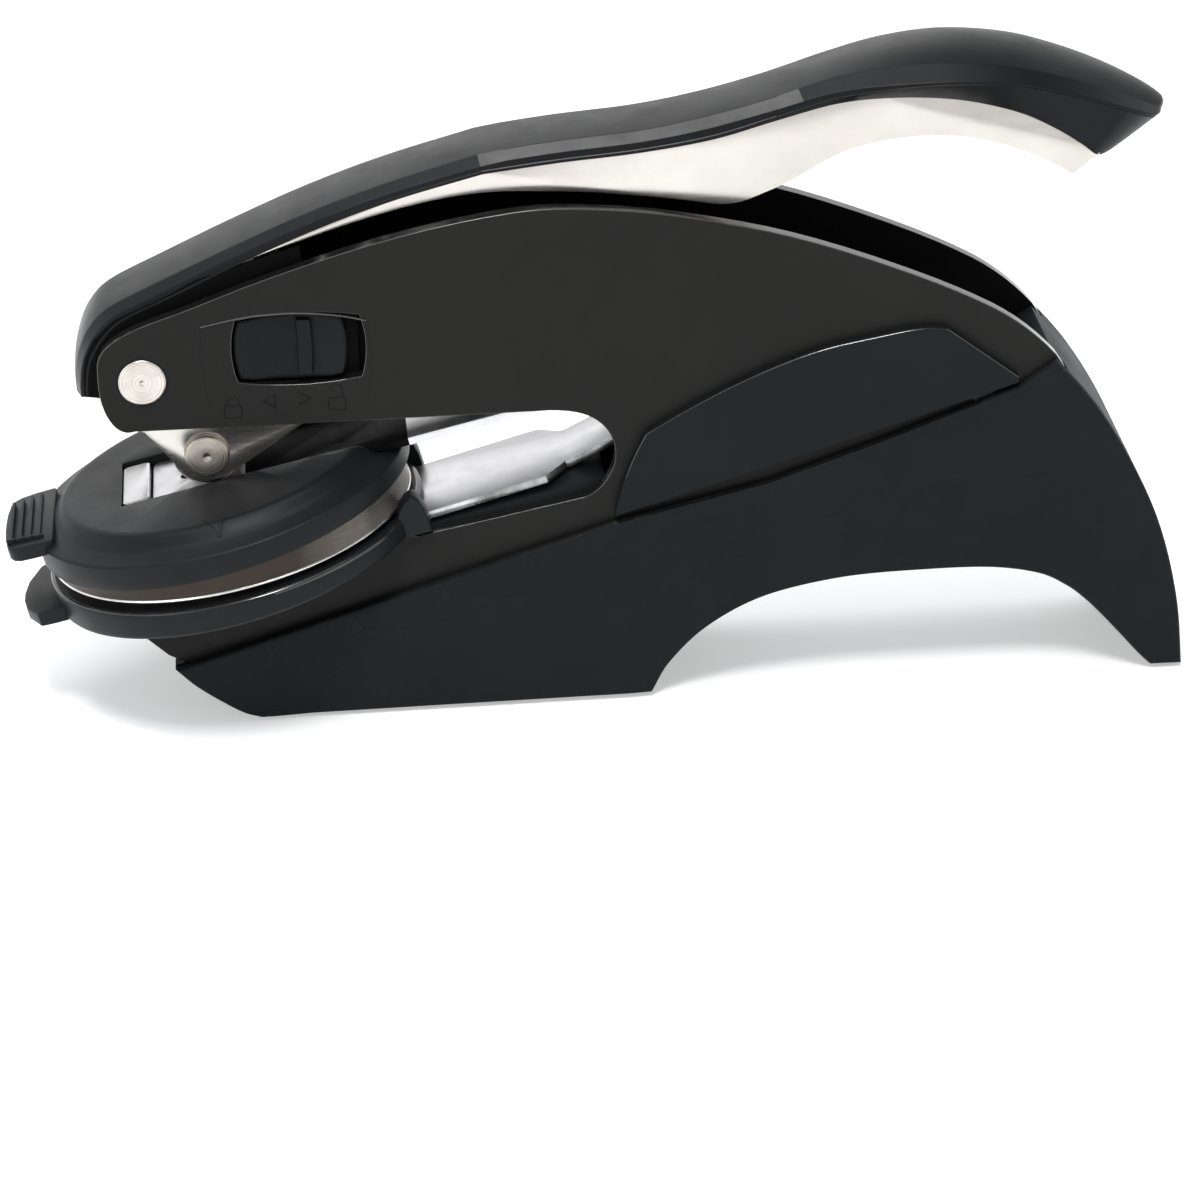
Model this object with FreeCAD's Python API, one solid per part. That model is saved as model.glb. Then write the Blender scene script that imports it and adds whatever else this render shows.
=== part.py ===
import FreeCAD, Part
import math
import os

# Desk seal embosser: two side plates in a moulded base shoe, a channel lever
# with a covered handle, and a sliding insert with a round pair of dies.
# +X is the handle end, -X the die end, +Z up. The origin lies under the
# middle of the whole press, on the surface it stands on. Sizes in mm.

V = FreeCAD.Vector
os.makedirs("parts", exist_ok=True)

# Frame
FRAME_LENGTH = 167.4
FRAME_HEIGHT = 81.4
NOSE_X = -75.4
FRAME_WIDTH = 25.5
PLATE_THICK = 2.5
FIT = 0.12
SEAT = 0.02
OVERRUN = 4.0

# Base shoe and panels
SHOE_PROUD = 2.45
SHOE_DRAFT = 1.2
SHOE_WALL = 2.4
RIM_GROOVE = 0.85
GROOVE_DEEP = 2.2
CREASE_DEEP = 0.4
FOOT_LIFT = 0.6
FOOT_THICK = 1.6
PANEL_THICK = 1.85
SCREW_R = 1.6
SCREW_HEAD_R = 2.8
SCREW_HEAD_HIGH = 1.4

# Spacers and rivets
SPACER_R = 3.6
SPACER_RISE = 1.8
RIVET_R = 1.9
JAW_SCREW_R = 1.5
ANCHOR_R = 1.8
STOP_R = 3.2

# Pivot and lever
PIVOT_R = 3.8
RUN_FIT = 0.05
PIN_DOME = 0.35
LEVER_WIDTH = 17.0
SHEET_THICK = 1.5
HANDLE_LENGTH = 159.7
HANDLE_RISE = 44.4
NOSE_GAP = 0.755
LOBE_R = 4.6

# Roller
ROLLER_AHEAD = 9.0
ROLLER_DROP = 14.2
ROLLER_R = 5.6
ROLLER_PIN_R = 2.1
ROLLER_HEAD_R = 3.55
ROLLER_HEAD_HIGH = 0.9
NIP = 0.2

# Handle cover
COVER_SKIRT = 0.85
COVER_FIT = 0.1
ROW_STEPS = 3
GRIP_WIDTH = 25.0
GRIP_SCREW_R = 1.3
GRIP_SCREW_HEAD_R = 2.5
GRIP_SCREW_DEEP = 2.4

# Return spring
SPRING_WIRE_R = 0.55
SPRING_R = 5.1
SPRING_TURNS = 5
SPRING_PITCH = 1.75
SPRING_LEAN = 6.9
SPRING_DOWN_ANGLE = 9.0
SPRING_UP_ARM = 27.6
SPRING_DOWN_ARM = 39.0
SPRING_PAST = 2.0

# Lock, measured back and up from the pivot
LOCK_BACK = 24.0
LOCK_UP = 4.1
LOCK_WINDOW_LONG = 18.8
LOCK_WINDOW_HIGH = 10.0
LOCK_BULGE = 0.8
LOCK_TRAVEL = 2.5
LOCK_GAP = 0.25
LOCK_PROUD = 0.5
BOLT_THICK = 1.0
LOCK_RIB = 1.9
LOCK_DISH = 1.1
LOCK_DISH_R = 16.0

# Die insert, measured in its own tilted frame: s to the rear, h upward
DIE_TILT = 13.2
FACE_WEDGE = 1.7
OPEN_ANGLE = 0.75
HOLDER_R = 30.0
LOWER_HIGH = 4.2
CLOSED_GAP = 0.2
BODY_HIGH = 3.5
BODY_STEP = 1.1
DIE_R = 25.5
DIE_THICK = 1.6
CAP_WALL = 5.5
CAP_RING = 4.0
CAP_WEDGE = 1.2
CROWN_SLOPE = 1.6
CROWN_HIGH = 1.1
CROWN_SWELL = 0.25
CHANNEL_WIDTH = 17.4
UPPER_LEAF_WIDTH = 17.0
LEAF_THICK = 1.2
CHANNEL_FRONT = 15.0
CATCH_LONG = 4.3
CATCH_WIDTH = 15.0
CATCH_HIGH = 0.9
CATCH_GAP = 0.5
TAB_REACH = 4.4
TAB_WIDTH = 19.0
TAB_THICK = 2.6
TAB_RIDGE = 0.5
EAR_LONG = 4.6
EAR_WIDTH = 3.8
EAR_HIGH = 6.3
LOWER_LEAF_WIDTH = 19.3
TAIL_WIDTH = 12.4
SHOULDER_AT = 49.5
TAIL_AT = 66.0
TAIL_RISE = 12.5
LEAF_RISE = 0.75
LAP = 9.0
LEAF_RIVET_R = 1.3
JAW_GAP = 0.3
THROAT_STEP = 0.7

# Outlines of the frame pieces, as shares of FRAME_LENGTH and FRAME_HEIGHT
plate_top_share = [
    (0.0006, 0.7420), (0.0054, 0.7641), (0.0185, 0.7875),
    (0.0711, 0.8305), (0.1249, 0.8698), (0.1661, 0.8980),
    (0.2288, 0.9361), (0.2993, 0.9705), (0.3680, 0.9939),
    (0.4032, 1.0000), (0.4612, 0.9939), (0.4970, 0.9853),
    (0.5514, 0.9644), (0.6237, 0.9275), (0.6786, 0.8894),
    (0.7336, 0.8440), (0.7885, 0.7924), (0.8208, 0.7568),
]
plate_heel_share = [(0.8208, 0.7568), (0.8519, 0.7113), (0.8787, 0.6560)]
plate_spine_share = [
    (0.8787, 0.6560), (0.8978, 0.5897), (0.9158, 0.5160),
    (0.9325, 0.4300), (0.9444, 0.3440), (0.9504, 0.2678),
]
plate_foot_share = [
    (0.9504, 0.2678), (0.6159, 0.2678), (0.4964, 0.2531),
    (0.3411, 0.1474), (0.1738, 0.0713), (0.1022, 0.0811),
    (0.0466, 0.1388), (0.0263, 0.1781),
]
plate_nose_share = [
    (0.0305, 0.6032), (0.0167, 0.6069), (0.0084, 0.6265),
    (0.0012, 0.6720), (0.0000, 0.7076), (0.0006, 0.7420),
]
throat_share = [
    (0.4337, 0.4165), (0.4498, 0.4300), (0.4600, 0.4521),
    (0.4683, 0.4914), (0.4677, 0.5270), (0.4606, 0.5577),
    (0.4444, 0.5848), (0.4271, 0.5958), (0.4098, 0.5995),
]
throat_top_share = (0.1846, 0.6007)
base_rear_share = [
    (0.8775, 0.6511), (0.8996, 0.5995), (0.9182, 0.5479),
    (0.9379, 0.4816), (0.9540, 0.4165), (0.9707, 0.3378),
    (0.9827, 0.2617), (0.9916, 0.1818), (0.9970, 0.1057),
    (1.0000, 0.0074),
]
base_arch_share = [
    (0.9707, 0.0074), (0.9600, 0.0295), (0.9403, 0.0774),
    (0.9211, 0.1229), (0.9062, 0.1548), (0.8895, 0.1830),
    (0.8632, 0.2113), (0.8160, 0.2297), (0.7473, 0.2322),
    (0.6756, 0.2236), (0.6039, 0.1941), (0.5502, 0.1376),
    (0.5143, 0.0676), (0.4964, 0.0074),
]
base_toe_share = [
    (0.1290, 0.0074), (0.1093, 0.0233), (0.0735, 0.0749),
    (0.0520, 0.1179),
]
base_rim_share = [
    (0.0520, 0.1179), (0.4636, 0.3710), (0.6099, 0.4373),
    (0.7174, 0.5111), (0.8435, 0.6044), (0.8775, 0.6511),
]
panel_share = [
    (0.4659, 0.3833), (0.4731, 0.4423), (0.4970, 0.5504),
    (0.5472, 0.6069), (0.6213, 0.6744), (0.6673, 0.7039),
    (0.7139, 0.7211), (0.7599, 0.7322), (0.7766, 0.7285),
    (0.8429, 0.6229), (0.8429, 0.6118), (0.6284, 0.4791),
]
spacer_share = [(0.8100, 0.5900), (0.9000, 0.4050)]
first_spacer_share = 0.50
nose_share = 0.0495
jaw_screw_share = [(0.1600, 0.1150), (0.3350, 0.2230), (0.4480, 0.2950)]
pivot_share = (0.0400, 0.7015)
hollow_share = [
    (0.2150, 0.0), (0.4720, 0.0), (0.4800, 0.2020),
    (0.3420, 0.1090), (0.2300, 0.0580),
]
well_share = [
    (0.4850, 0.4300), (0.4950, 0.3000), (0.9320, 0.3000),
    (0.9250, 0.4300), (0.8850, 0.5600), (0.8300, 0.6900),
    (0.4850, 0.6900),
]

# Outlines of the lever and its cover, as shares of HANDLE_LENGTH and
# HANDLE_RISE from the pivot
web_top_share = [
    (-0.0495, -0.0428), (-0.0488, 0.0315), (-0.0432, 0.1059),
    (-0.0288, 0.1869), (0.0025, 0.2523), (0.0332, 0.2973),
    (0.0902, 0.3919), (0.1271, 0.4527), (0.1816, 0.5248),
    (0.2743, 0.6306), (0.3287, 0.6779), (0.4064, 0.7072),
    (0.4822, 0.7275), (0.5579, 0.7680), (0.6343, 0.8356),
    (0.6725, 0.8716), (0.7107, 0.8896), (0.7539, 0.8896),
    (0.7915, 0.8671), (0.8416, 0.8086), (0.8854, 0.7185),
    (0.9230, 0.6126),
]
web_low_share = [
    (0.9230, 0.6126), (0.8973, 0.5405), (0.8716, 0.5968),
    (0.8322, 0.6577), (0.7927, 0.6959), (0.7527, 0.7072),
    (0.7132, 0.6959), (0.6731, 0.6599), (0.6212, 0.5631),
    (0.5961, 0.5270), (0.5773, 0.5045), (0.5579, 0.5000),
    (0.5385, 0.5113), (0.4815, 0.5450), (0.4440, 0.5631),
    (0.3870, 0.5811), (0.3488, 0.5878), (0.3112, 0.5811),
    (0.2736, 0.5608), (0.2154, 0.5113), (0.1478, 0.4369),
    (0.1121, 0.3941),
]
cheek_rear_share = [
    (0.1121, 0.3941), (0.1302, 0.3266), (0.1553, 0.1667),
    (0.1666, -0.0135), (0.1515, -0.2185),
]
cheek_front_share = [
    (-0.0019, -0.2230), (-0.0238, -0.1824), (-0.0407, -0.1171),
    (-0.0495, -0.0428),
]
# Sections of the cover: outer point, inner point, swell of the width toward the
# grip, share of the way out of the widest line, then out and up of the shoulder
# and of the crease that bounds the crown
front_section_share = [
    (-0.0657, -0.0721, -0.0526, -0.0721, 0.0, 0.12, 0.96, 0.52, 0.70, 0.940),
    (-0.0657, -0.0135, -0.0520, -0.0248, 0.0, 0.12, 0.96, 0.52, 0.70, 0.940),
    (-0.0614, 0.0721, -0.0480, 0.0520, 0.0, 0.12, 0.96, 0.52, 0.70, 0.940),
    (-0.0501, 0.1599, -0.0344, 0.1329, 0.0, 0.12, 0.96, 0.52, 0.70, 0.940),
    (-0.0301, 0.2297, -0.0131, 0.2005, 0.0, 0.12, 0.96, 0.54, 0.70, 0.940),
    (0.0157, 0.3086, 0.0332, 0.2748, 0.0, 0.12, 0.96, 0.56, 0.70, 0.940),
    (0.0914, 0.4279, 0.1060, 0.3940, 0.0, 0.12, 0.96, 0.57, 0.70, 0.940),
    (0.1666, 0.5383, 0.1790, 0.4990, 0.0, 0.13, 0.96, 0.57, 0.70, 0.940),
    (0.2417, 0.6284, 0.2500, 0.5830, 0.0, 0.14, 0.96, 0.57, 0.70, 0.940),
    (0.3287, 0.7140, 0.3330, 0.6585, 0.0, 0.16, 0.96, 0.57, 0.70, 0.940),
]
rear_section_share = [
    (0.3287, 0.7140, 0.3330, 0.6585, 0.0, 0.16, 0.96, 0.64, 0.64, 0.950),
    (0.4039, 0.7455, 0.4064, 0.6847, 0.0, 0.16, 0.96, 0.64, 0.64, 0.950),
    (0.4840, 0.7680, 0.4822, 0.7050, 0.0, 0.16, 0.96, 0.64, 0.64, 0.950),
    (0.5441, 0.8041, 0.5520, 0.7390, 0.0, 0.17, 0.96, 0.64, 0.64, 0.945),
    (0.6043, 0.8536, 0.6140, 0.7960, 0.02, 0.20, 0.96, 0.64, 0.64, 0.940),
    (0.6650, 0.9234, 0.6725, 0.8446, 0.20, 0.30, 0.97, 0.64, 0.63, 0.930),
    (0.7251, 0.9775, 0.7289, 0.8536, 0.68, 0.46, 0.975, 0.66, 0.62, 0.915),
    (0.7850, 0.9990, 0.7890, 0.8333, 0.98, 0.60, 0.98, 0.70, 0.61, 0.905),
    (0.8453, 0.9752, 0.8430, 0.7800, 1.00, 0.68, 0.985, 0.75, 0.61, 0.910),
    (0.8954, 0.9220, 0.8800, 0.7130, 0.80, 0.73, 0.985, 0.78, 0.60, 0.925),
    (0.9400, 0.8540, 0.9100, 0.6450, 0.40, 0.76, 0.980, 0.81, 0.58, 0.935),
    (0.9740, 0.7920, 0.9300, 0.6050, -0.23, 0.79, 0.970, 0.84, 0.55, 0.945),
    (0.9940, 0.7400, 0.9440, 0.5850, -1.00, 0.81, 0.960, 0.86, 0.50, 0.950),
]
grip_screw_shares = (0.7600, 0.8500)

crease_share = [
    (0.1422, 0.0), (0.1422, 0.0440), (0.2050, 0.1044), (0.2623, 0.1658),
    (0.3190, 0.2113), (0.4086, 0.2703), (0.5072, 0.3415), (0.6756, 0.4558),
    (0.8100, 0.5330), (0.8900, 0.5700),
]
surround_share = [
    (0.4767, 0.0), (0.4767, 0.1192), (0.4869, 0.2101), (0.5245, 0.2469),
    (0.6004, 0.3206), (0.7127, 0.3993), (0.8244, 0.4472), (0.8860, 0.3845),
    (0.9122, 0.2912), (0.9367, 0.1929), (0.9500, 0.1241), (0.9700, 0.0),
]

# Sizes that follow
PLATE_OUT = FRAME_WIDTH / 2
PLATE_IN = PLATE_OUT - PLATE_THICK
LEVER_OUT = LEVER_WIDTH / 2
LEVER_IN = LEVER_OUT - SHEET_THICK
SHOE_OUT = PLATE_OUT + SHOE_PROUD
SHOE_WIDTH = 2 * SHOE_OUT
NOSE_REACH = SPRING_R + SPRING_WIRE_R + SHEET_THICK + NOSE_GAP
BODY_R = HOLDER_R - BODY_STEP
TILT = math.radians(DIE_TILT)


def frame_point(share):
    return V(NOSE_X + share[0] * FRAME_LENGTH, 0, share[1] * FRAME_HEIGHT)


PIVOT = frame_point(pivot_share)


def handle_point(share):
    # In front of the pivot the lever wraps round the coil of the spring.
    long = HANDLE_LENGTH
    if share[0] < 0:
        long = NOSE_REACH / nose_share
    return V(PIVOT.x + share[0] * long, 0, PIVOT.z + share[1] * HANDLE_RISE)


ROLLER = V(PIVOT.x + ROLLER_AHEAD, 0, PIVOT.z - ROLLER_DROP)


def turned(point, centre, angle):
    # Turns a point about an axis along Y; positive lifts its +X side.
    dx = point.x - centre.x
    dz = point.z - centre.z
    c = math.cos(angle)
    s = math.sin(angle)
    return V(centre.x + dx * c - dz * s, 0, centre.z + dx * s + dz * c)


# The insert hangs under the roller: leaf, cap, drum and lower holder in turn
STACK = CAP_WALL + BODY_HIGH + CLOSED_GAP + LOWER_HIGH
LEAF_TOP_AT_REST = turned(ROLLER - V(0, 0, ROLLER_R + NIP), ROLLER, TILT)
REST_LIFT = (TAIL_AT - SEAT) * math.radians(OPEN_ANGLE)
DIE_CENTRE = LEAF_TOP_AT_REST + V(STACK * math.sin(TILT), 0, -(STACK + REST_LIFT) * math.cos(TILT))
UPPER_LEAF_TOP = STACK
ROOT_H = STACK - LEAF_THICK - LEAF_THICK / 2


def die_point(s, h):
    c = math.cos(TILT)
    k = math.sin(TILT)
    return V(DIE_CENTRE.x + s * c - h * k, 0, DIE_CENTRE.z + s * k + h * c)


def place_die(shape, opened=False):
    if opened:
        shape = shape.rotated(V(TAIL_AT, 0, ROOT_H), V(0, 1, 0), OPEN_ANGLE)
    shape = shape.rotated(V(0, 0, 0), V(0, 1, 0), -DIE_TILT)
    return shape.translated(DIE_CENTRE)


def curve(points):
    if len(points) == 2:
        return Part.LineSegment(points[0], points[1]).toShape()
    spline = Part.BSplineCurve()
    spline.interpolate(points)
    return spline.toShape()


def outline(runs):
    # Each run is a list of points and whether it is a smooth curve.
    edges = []
    for points, smooth in runs:
        if smooth:
            edges.append(curve(points))
        else:
            for a, b in zip(points, points[1:]):
                if (a - b).Length > SEAT:
                    edges.append(Part.LineSegment(a, b).toShape())
    wire = Part.Wire(Part.__sortEdges__(edges))
    return Part.Face(wire)


def slab(face, y_low, y_high):
    return face.translated(V(0, y_low, 0)).extrude(V(0, y_high - y_low, 0))


def polygon(points):
    return Part.Face(Part.makePolygon(list(points) + [points[0]]))


def rod(x, z, r, y_low, y_high):
    return Part.makeCylinder(r, y_high - y_low, V(x, y_low, z), V(0, 1, 0))


def block(x0, x1, y0, y1, z0, z1):
    return Part.makeBox(x1 - x0, y1 - y0, z1 - z0, V(x0, y0, z0))


def group(shapes):
    return Part.makeCompound(shapes)


def export(name, shape):
    if shape.ShapeType == "Compound" and len(shape.Solids) == 1:
        shape = shape.Solids[0]
    if not shape.isValid():
        shape.fix(SEAT, SEAT, SEAT)
    print(name, len(shape.Solids), round(shape.Volume, 1), shape.isValid())
    shape.exportStep("parts/%s.step" % name)


# ---- frame ----
def jaw_line():
    front = die_point(-DIE_R * 0.62, -JAW_GAP)
    rear = die_point(HOLDER_R * 0.9, -JAW_GAP)
    return front, rear


def plate_face():
    front, rear = jaw_line()
    foot = [frame_point(s) for s in plate_foot_share]
    throat = [die_point(HOLDER_R * 0.93, -JAW_GAP - THROAT_STEP / 2)]
    throat += [frame_point(s) for s in throat_share]
    nose = [frame_point(s) for s in plate_nose_share]
    return outline([
        ([frame_point(s) for s in plate_top_share], True),
        ([frame_point(s) for s in plate_heel_share], True),
        ([frame_point(s) for s in plate_spine_share], True),
        (foot + [front, rear, throat[0], throat[1]], False),
        (throat[1:], True),
        ([throat[-1], frame_point(throat_top_share), nose[0]], False),
        (nose, True),
    ])


def lock_window(long, high, bulge, centre):
    x0 = centre.x - long / 2
    x1 = centre.x + long / 2
    z0 = centre.z - high / 2
    z1 = centre.z + high / 2
    low = Part.Arc(V(x0, 0, z0), V(centre.x, 0, z0 - bulge), V(x1, 0, z0)).toShape()
    right = Part.Arc(V(x1, 0, z0), V(x1 + bulge, 0, centre.z), V(x1, 0, z1)).toShape()
    top = Part.Arc(V(x1, 0, z1), V(centre.x, 0, z1 + bulge), V(x0, 0, z1)).toShape()
    left = Part.Arc(V(x0, 0, z1), V(x0 - bulge, 0, centre.z), V(x0, 0, z0)).toShape()
    return Part.Face(Part.Wire([low, right, top, left]))


LOCK = PIVOT + V(LOCK_BACK, 0, LOCK_UP)


def spacer_places():
    # The first spacer stands between the tail stop and the second one.
    rest = [frame_point(s) for s in spacer_share]
    stop = stop_place()
    first = stop + (rest[0] - stop) * first_spacer_share + V(0, 0, SPACER_RISE)
    return [first] + rest


def make_plates():
    face = plate_face()
    sides = (("side_plate_near", -PLATE_OUT, -PLATE_IN), ("side_plate_far", PLATE_IN, PLATE_OUT))
    for name, y0, y1 in sides:
        plate = slab(face, y0, y1)
        holes = [rod(PIVOT.x, PIVOT.z, PIVOT_R + SEAT, y0 - OVERRUN, y1 + OVERRUN)]
        for p in spacer_places():
            holes.append(rod(p.x, p.z, RIVET_R + SEAT, y0 - OVERRUN, y1 + OVERRUN))
        for s in jaw_screw_share:
            p = frame_point(s)
            holes.append(rod(p.x, p.z, JAW_SCREW_R + SEAT, y0 - OVERRUN, y1 + OVERRUN))
        if y0 < 0:
            window = lock_window(LOCK_WINDOW_LONG, LOCK_WINDOW_HIGH, LOCK_BULGE, LOCK)
            holes.append(slab(window, y0 - OVERRUN, y1 + OVERRUN))
        export(name, plate.cut(holes))


def make_spacers():
    tubes = []
    rivets = []
    for p in spacer_places():
        tube = rod(p.x, p.z, SPACER_R, -PLATE_IN, PLATE_IN)
        tubes.append(tube.cut(rod(p.x, p.z, RIVET_R + SEAT, -PLATE_OUT, PLATE_OUT)))
        rivets.append(rod(p.x, p.z, RIVET_R, -PLATE_OUT, PLATE_OUT))
    export("frame_spacers", group(tubes))
    export("frame_rivets", group(rivets))
    screws = []
    for s in jaw_screw_share:
        p = frame_point(s)
        screws.append(rod(p.x, p.z, JAW_SCREW_R, -PLATE_OUT, PLATE_OUT))
    export("jaw_screws", group(screws))
    p = anchor_place()
    export("spring_anchor", rod(p.x, p.z, ANCHOR_R, -PLATE_IN, PLATE_IN))


def shoe_profile():
    rim = [frame_point(s) for s in base_rim_share]
    rear = [frame_point(s) for s in base_rear_share]
    arch = [frame_point(s) for s in base_arch_share]
    toe = [frame_point(s) for s in base_toe_share]
    for run in (rear[-1:], arch[:1], arch[-1:], toe[:1]):
        run[0].z = FOOT_LIFT
    rear[-1].z = FOOT_LIFT
    arch[0].z = FOOT_LIFT
    arch[-1].z = FOOT_LIFT
    toe[0].z = FOOT_LIFT
    return rim, rear, arch, toe


def draft_wedge(inset=0):
    # The shoe narrows a little from its foot to its top.
    low = SHOE_OUT - inset
    high = SHOE_OUT - SHOE_DRAFT - inset
    section = polygon([
        V(NOSE_X - OVERRUN, -low, 0), V(NOSE_X - OVERRUN, low, 0),
        V(NOSE_X - OVERRUN, high, FRAME_HEIGHT), V(NOSE_X - OVERRUN, -high, FRAME_HEIGHT),
    ])
    return section.extrude(V(FRAME_LENGTH + 2 * OVERRUN, 0, 0))


def plate_pockets():
    # Slots of the shoe that take the two plates, open toward the throat.
    foot = [frame_point(s) for s in plate_foot_share]
    spine = [frame_point(s) for s in plate_spine_share]
    grown = []
    for p in foot[:-1]:
        grown.append(p + V(0, 0, -FIT))
    grown[0] = grown[0] + V(FIT, 0, 0)
    top_front = foot[-1] + V(-OVERRUN, 0, OVERRUN)
    wide_spine = [p + V(FIT, 0, FIT) for p in spine]
    roof = V(spine[0].x, 0, FRAME_HEIGHT)
    roof_front = V(foot[-1].x - OVERRUN, 0, FRAME_HEIGHT)
    face = outline([
        (wide_spine, True),
        ([wide_spine[-1]] + grown + [top_front, roof_front, roof + V(FIT, 0, 0), wide_spine[0]], False),
    ])
    cuts = []
    for y0, y1 in ((-PLATE_OUT - FIT, -PLATE_IN + FIT), (PLATE_IN - FIT, PLATE_OUT + FIT)):
        cuts.append(slab(face, y0, y1))
    return cuts


def shoe_relief():
    # Soft steps of the outer faces and the grooves behind the rim.
    cuts = []
    for depth, table in ((CREASE_DEEP, crease_share), (2 * CREASE_DEEP, surround_share)):
        points = [frame_point(s) for s in table]
        ends = [V(FRAME_LENGTH, 0, points[-1].z), V(FRAME_LENGTH, 0, 0)] if table is crease_share else []
        area = slab(polygon(points + ends), -SHOE_WIDTH, SHOE_WIDTH)
        cuts.append(area.cut(draft_wedge(depth)))
    rim = [frame_point(s) for s in base_rim_share]
    up = V(0, 0, GROOVE_DEEP)
    band = polygon([p - up for p in rim] + [p + up for p in rim[::-1]])
    for y0, y1 in ((-PLATE_OUT - RIM_GROOVE, -PLATE_OUT), (PLATE_OUT, PLATE_OUT + RIM_GROOVE)):
        cuts.append(slab(band, y0, y1))
    return cuts


def make_shoe():
    rim, rear, arch, toe = shoe_profile()
    face = outline([
        (rim, False), (rear, True), ([rear[-1], arch[0]], False),
        (arch, True), ([arch[-1], toe[0]], False), (toe, True),
    ])
    body = slab(face, -SHOE_OUT, SHOE_OUT).common(draft_wedge())
    cuts = plate_pockets() + shoe_relief()
    cuts.append(jaw_space())
    hollow = polygon([frame_point(s) for s in hollow_share])
    bosses = []
    for x, y, z, head_z in shoe_screws():
        bosses.append(Part.makeCylinder(SCREW_HEAD_R + SHOE_WALL, z, V(x, y, 0)))
    cuts.append(slab(hollow, -PLATE_IN, PLATE_IN).cut(bosses))
    well = polygon([frame_point(s) for s in well_share])
    cuts.append(slab(well, -PLATE_IN - FIT, PLATE_IN + FIT))
    for x, y, z, head_z in shoe_screws():
        cuts.append(Part.makeCylinder(SCREW_R + SEAT, FRAME_HEIGHT / 4, V(x, y, 0)))
        cuts.append(Part.makeCylinder(SCREW_HEAD_R + FIT, head_z, V(x, y, 0)))
    for x0, x1 in foot_spans():
        cuts.append(block(x0 - FIT, x1 + FIT, -PLATE_OUT, PLATE_OUT, 0, FOOT_THICK))
    export("base_shoe", body.cut(cuts))


def jaw_profile(clear):
    # Block between the plates, under the insert; clear grows its sides.
    foot = [frame_point(s) for s in plate_foot_share]
    front = foot[-1]
    rear_x = frame_point(throat_share[2]).x
    top = [
        die_point(-DIE_R * 0.62, -JAW_GAP), die_point(HOLDER_R * 0.95, -JAW_GAP),
        die_point(SHOULDER_AT, -JAW_GAP), die_point(SHOULDER_AT + TAIL_WIDTH / 3, LEAF_THICK / 2),
    ]
    rear_top = V(rear_x, 0, top[-1].z)
    return [
        front + V(-clear, 0, 0), top[0] + V(-clear, 0, clear), top[1] + V(0, 0, clear),
        top[2] + V(0, 0, clear), top[3] + V(0, 0, clear), rear_top + V(clear, 0, clear),
        V(rear_x + clear, 0, foot[2].z - clear), foot[3] + V(0, 0, -clear),
        foot[4] + V(0, 0, -clear), foot[5] + V(0, 0, -clear), foot[6] + V(-clear, 0, -clear),
    ]


def jaw_space():
    return slab(polygon(jaw_profile(FIT)), -PLATE_IN - FIT, PLATE_IN + FIT)


def make_jaw_block():
    body = slab(polygon(jaw_profile(0)), -PLATE_IN, PLATE_IN)
    cuts = []
    for s in jaw_screw_share:
        p = frame_point(s)
        cuts.append(rod(p.x, p.z, JAW_SCREW_R + SEAT, -PLATE_OUT, PLATE_OUT))
    for x, y, z, head_z in shoe_screws():
        cuts.append(Part.makeCylinder(SCREW_R + SEAT, z, V(x, y, 0)))
    export("jaw_block", body.cut(cuts))


def shoe_screws():
    # Places of the screws from below: x, y, top of the thread, top of the head.
    foot = [frame_point(s) for s in plate_foot_share]
    front = foot[4].x + SCREW_HEAD_R
    rear = foot[3].x + PLATE_IN
    screws = []
    for x, z in ((front, foot[5].z), (rear, foot[3].z)):
        screws.append((x, 0, z + SCREW_HEAD_R, SHOE_WALL))
    return screws


def make_shoe_screws():
    shapes = []
    for x, y, z, head_z in shoe_screws():
        head = Part.makeCylinder(SCREW_HEAD_R, SCREW_HEAD_HIGH, V(x, y, head_z - SCREW_HEAD_HIGH))
        shapes.append(head.fuse(Part.makeCylinder(SCREW_R, z - head_z, V(x, y, head_z))))
    export("base_screws", group(shapes))


def foot_spans():
    toe = frame_point(base_toe_share[0])
    arch_rear = frame_point(base_arch_share[0])
    arch_front = frame_point(base_arch_share[-1])
    heel = frame_point(base_rear_share[-1])
    return [
        (toe.x + SHOE_WALL / 2, toe.x + 5 * SHOE_WALL / 2),
        (arch_front.x - 3 * SHOE_WALL, arch_front.x - SHOE_WALL),
        (arch_rear.x + SHOE_WALL / 3, heel.x - SHOE_WALL / 3),
    ]


def make_feet():
    pads = []
    for x0, x1 in foot_spans():
        pads.append(block(x0, x1, -PLATE_OUT + FIT, PLATE_OUT - FIT, 0, FOOT_THICK))
    export("foot_pads", group(pads))


def make_panels():
    points = [frame_point(s) for s in panel_share]
    face = outline([(points[:3], True), (points[2:9], True), (points[8:] + points[:1], False)])
    for name, side in (("side_panel_near", -1), ("side_panel_far", 1)):
        inner = side * (PLATE_OUT + SEAT)
        outer = side * (PLATE_OUT + PANEL_THICK)
        panel = slab(face, min(inner, outer), max(inner, outer))
        export(name, panel)


def make_pivot():
    reach = PLATE_OUT + PIN_DOME
    pin = rod(PIVOT.x, PIVOT.z, PIVOT_R, -reach, reach)
    rims = [e for e in pin.Edges if isinstance(e.Curve, Part.Circle)]
    export("pivot_pin", pin.makeChamfer(PIN_DOME, rims))
    rings = []
    for y0, y1 in ((-PLATE_IN + RUN_FIT, -LEVER_OUT - RUN_FIT), (LEVER_OUT + RUN_FIT, PLATE_IN - RUN_FIT)):
        ring = rod(PIVOT.x, PIVOT.z, PIVOT_R + SHEET_THICK, y0, y1)
        rings.append(ring.cut(rod(PIVOT.x, PIVOT.z, PIVOT_R + SEAT, -PLATE_OUT, PLATE_OUT)))
    export("pivot_washers", group(rings))


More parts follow.
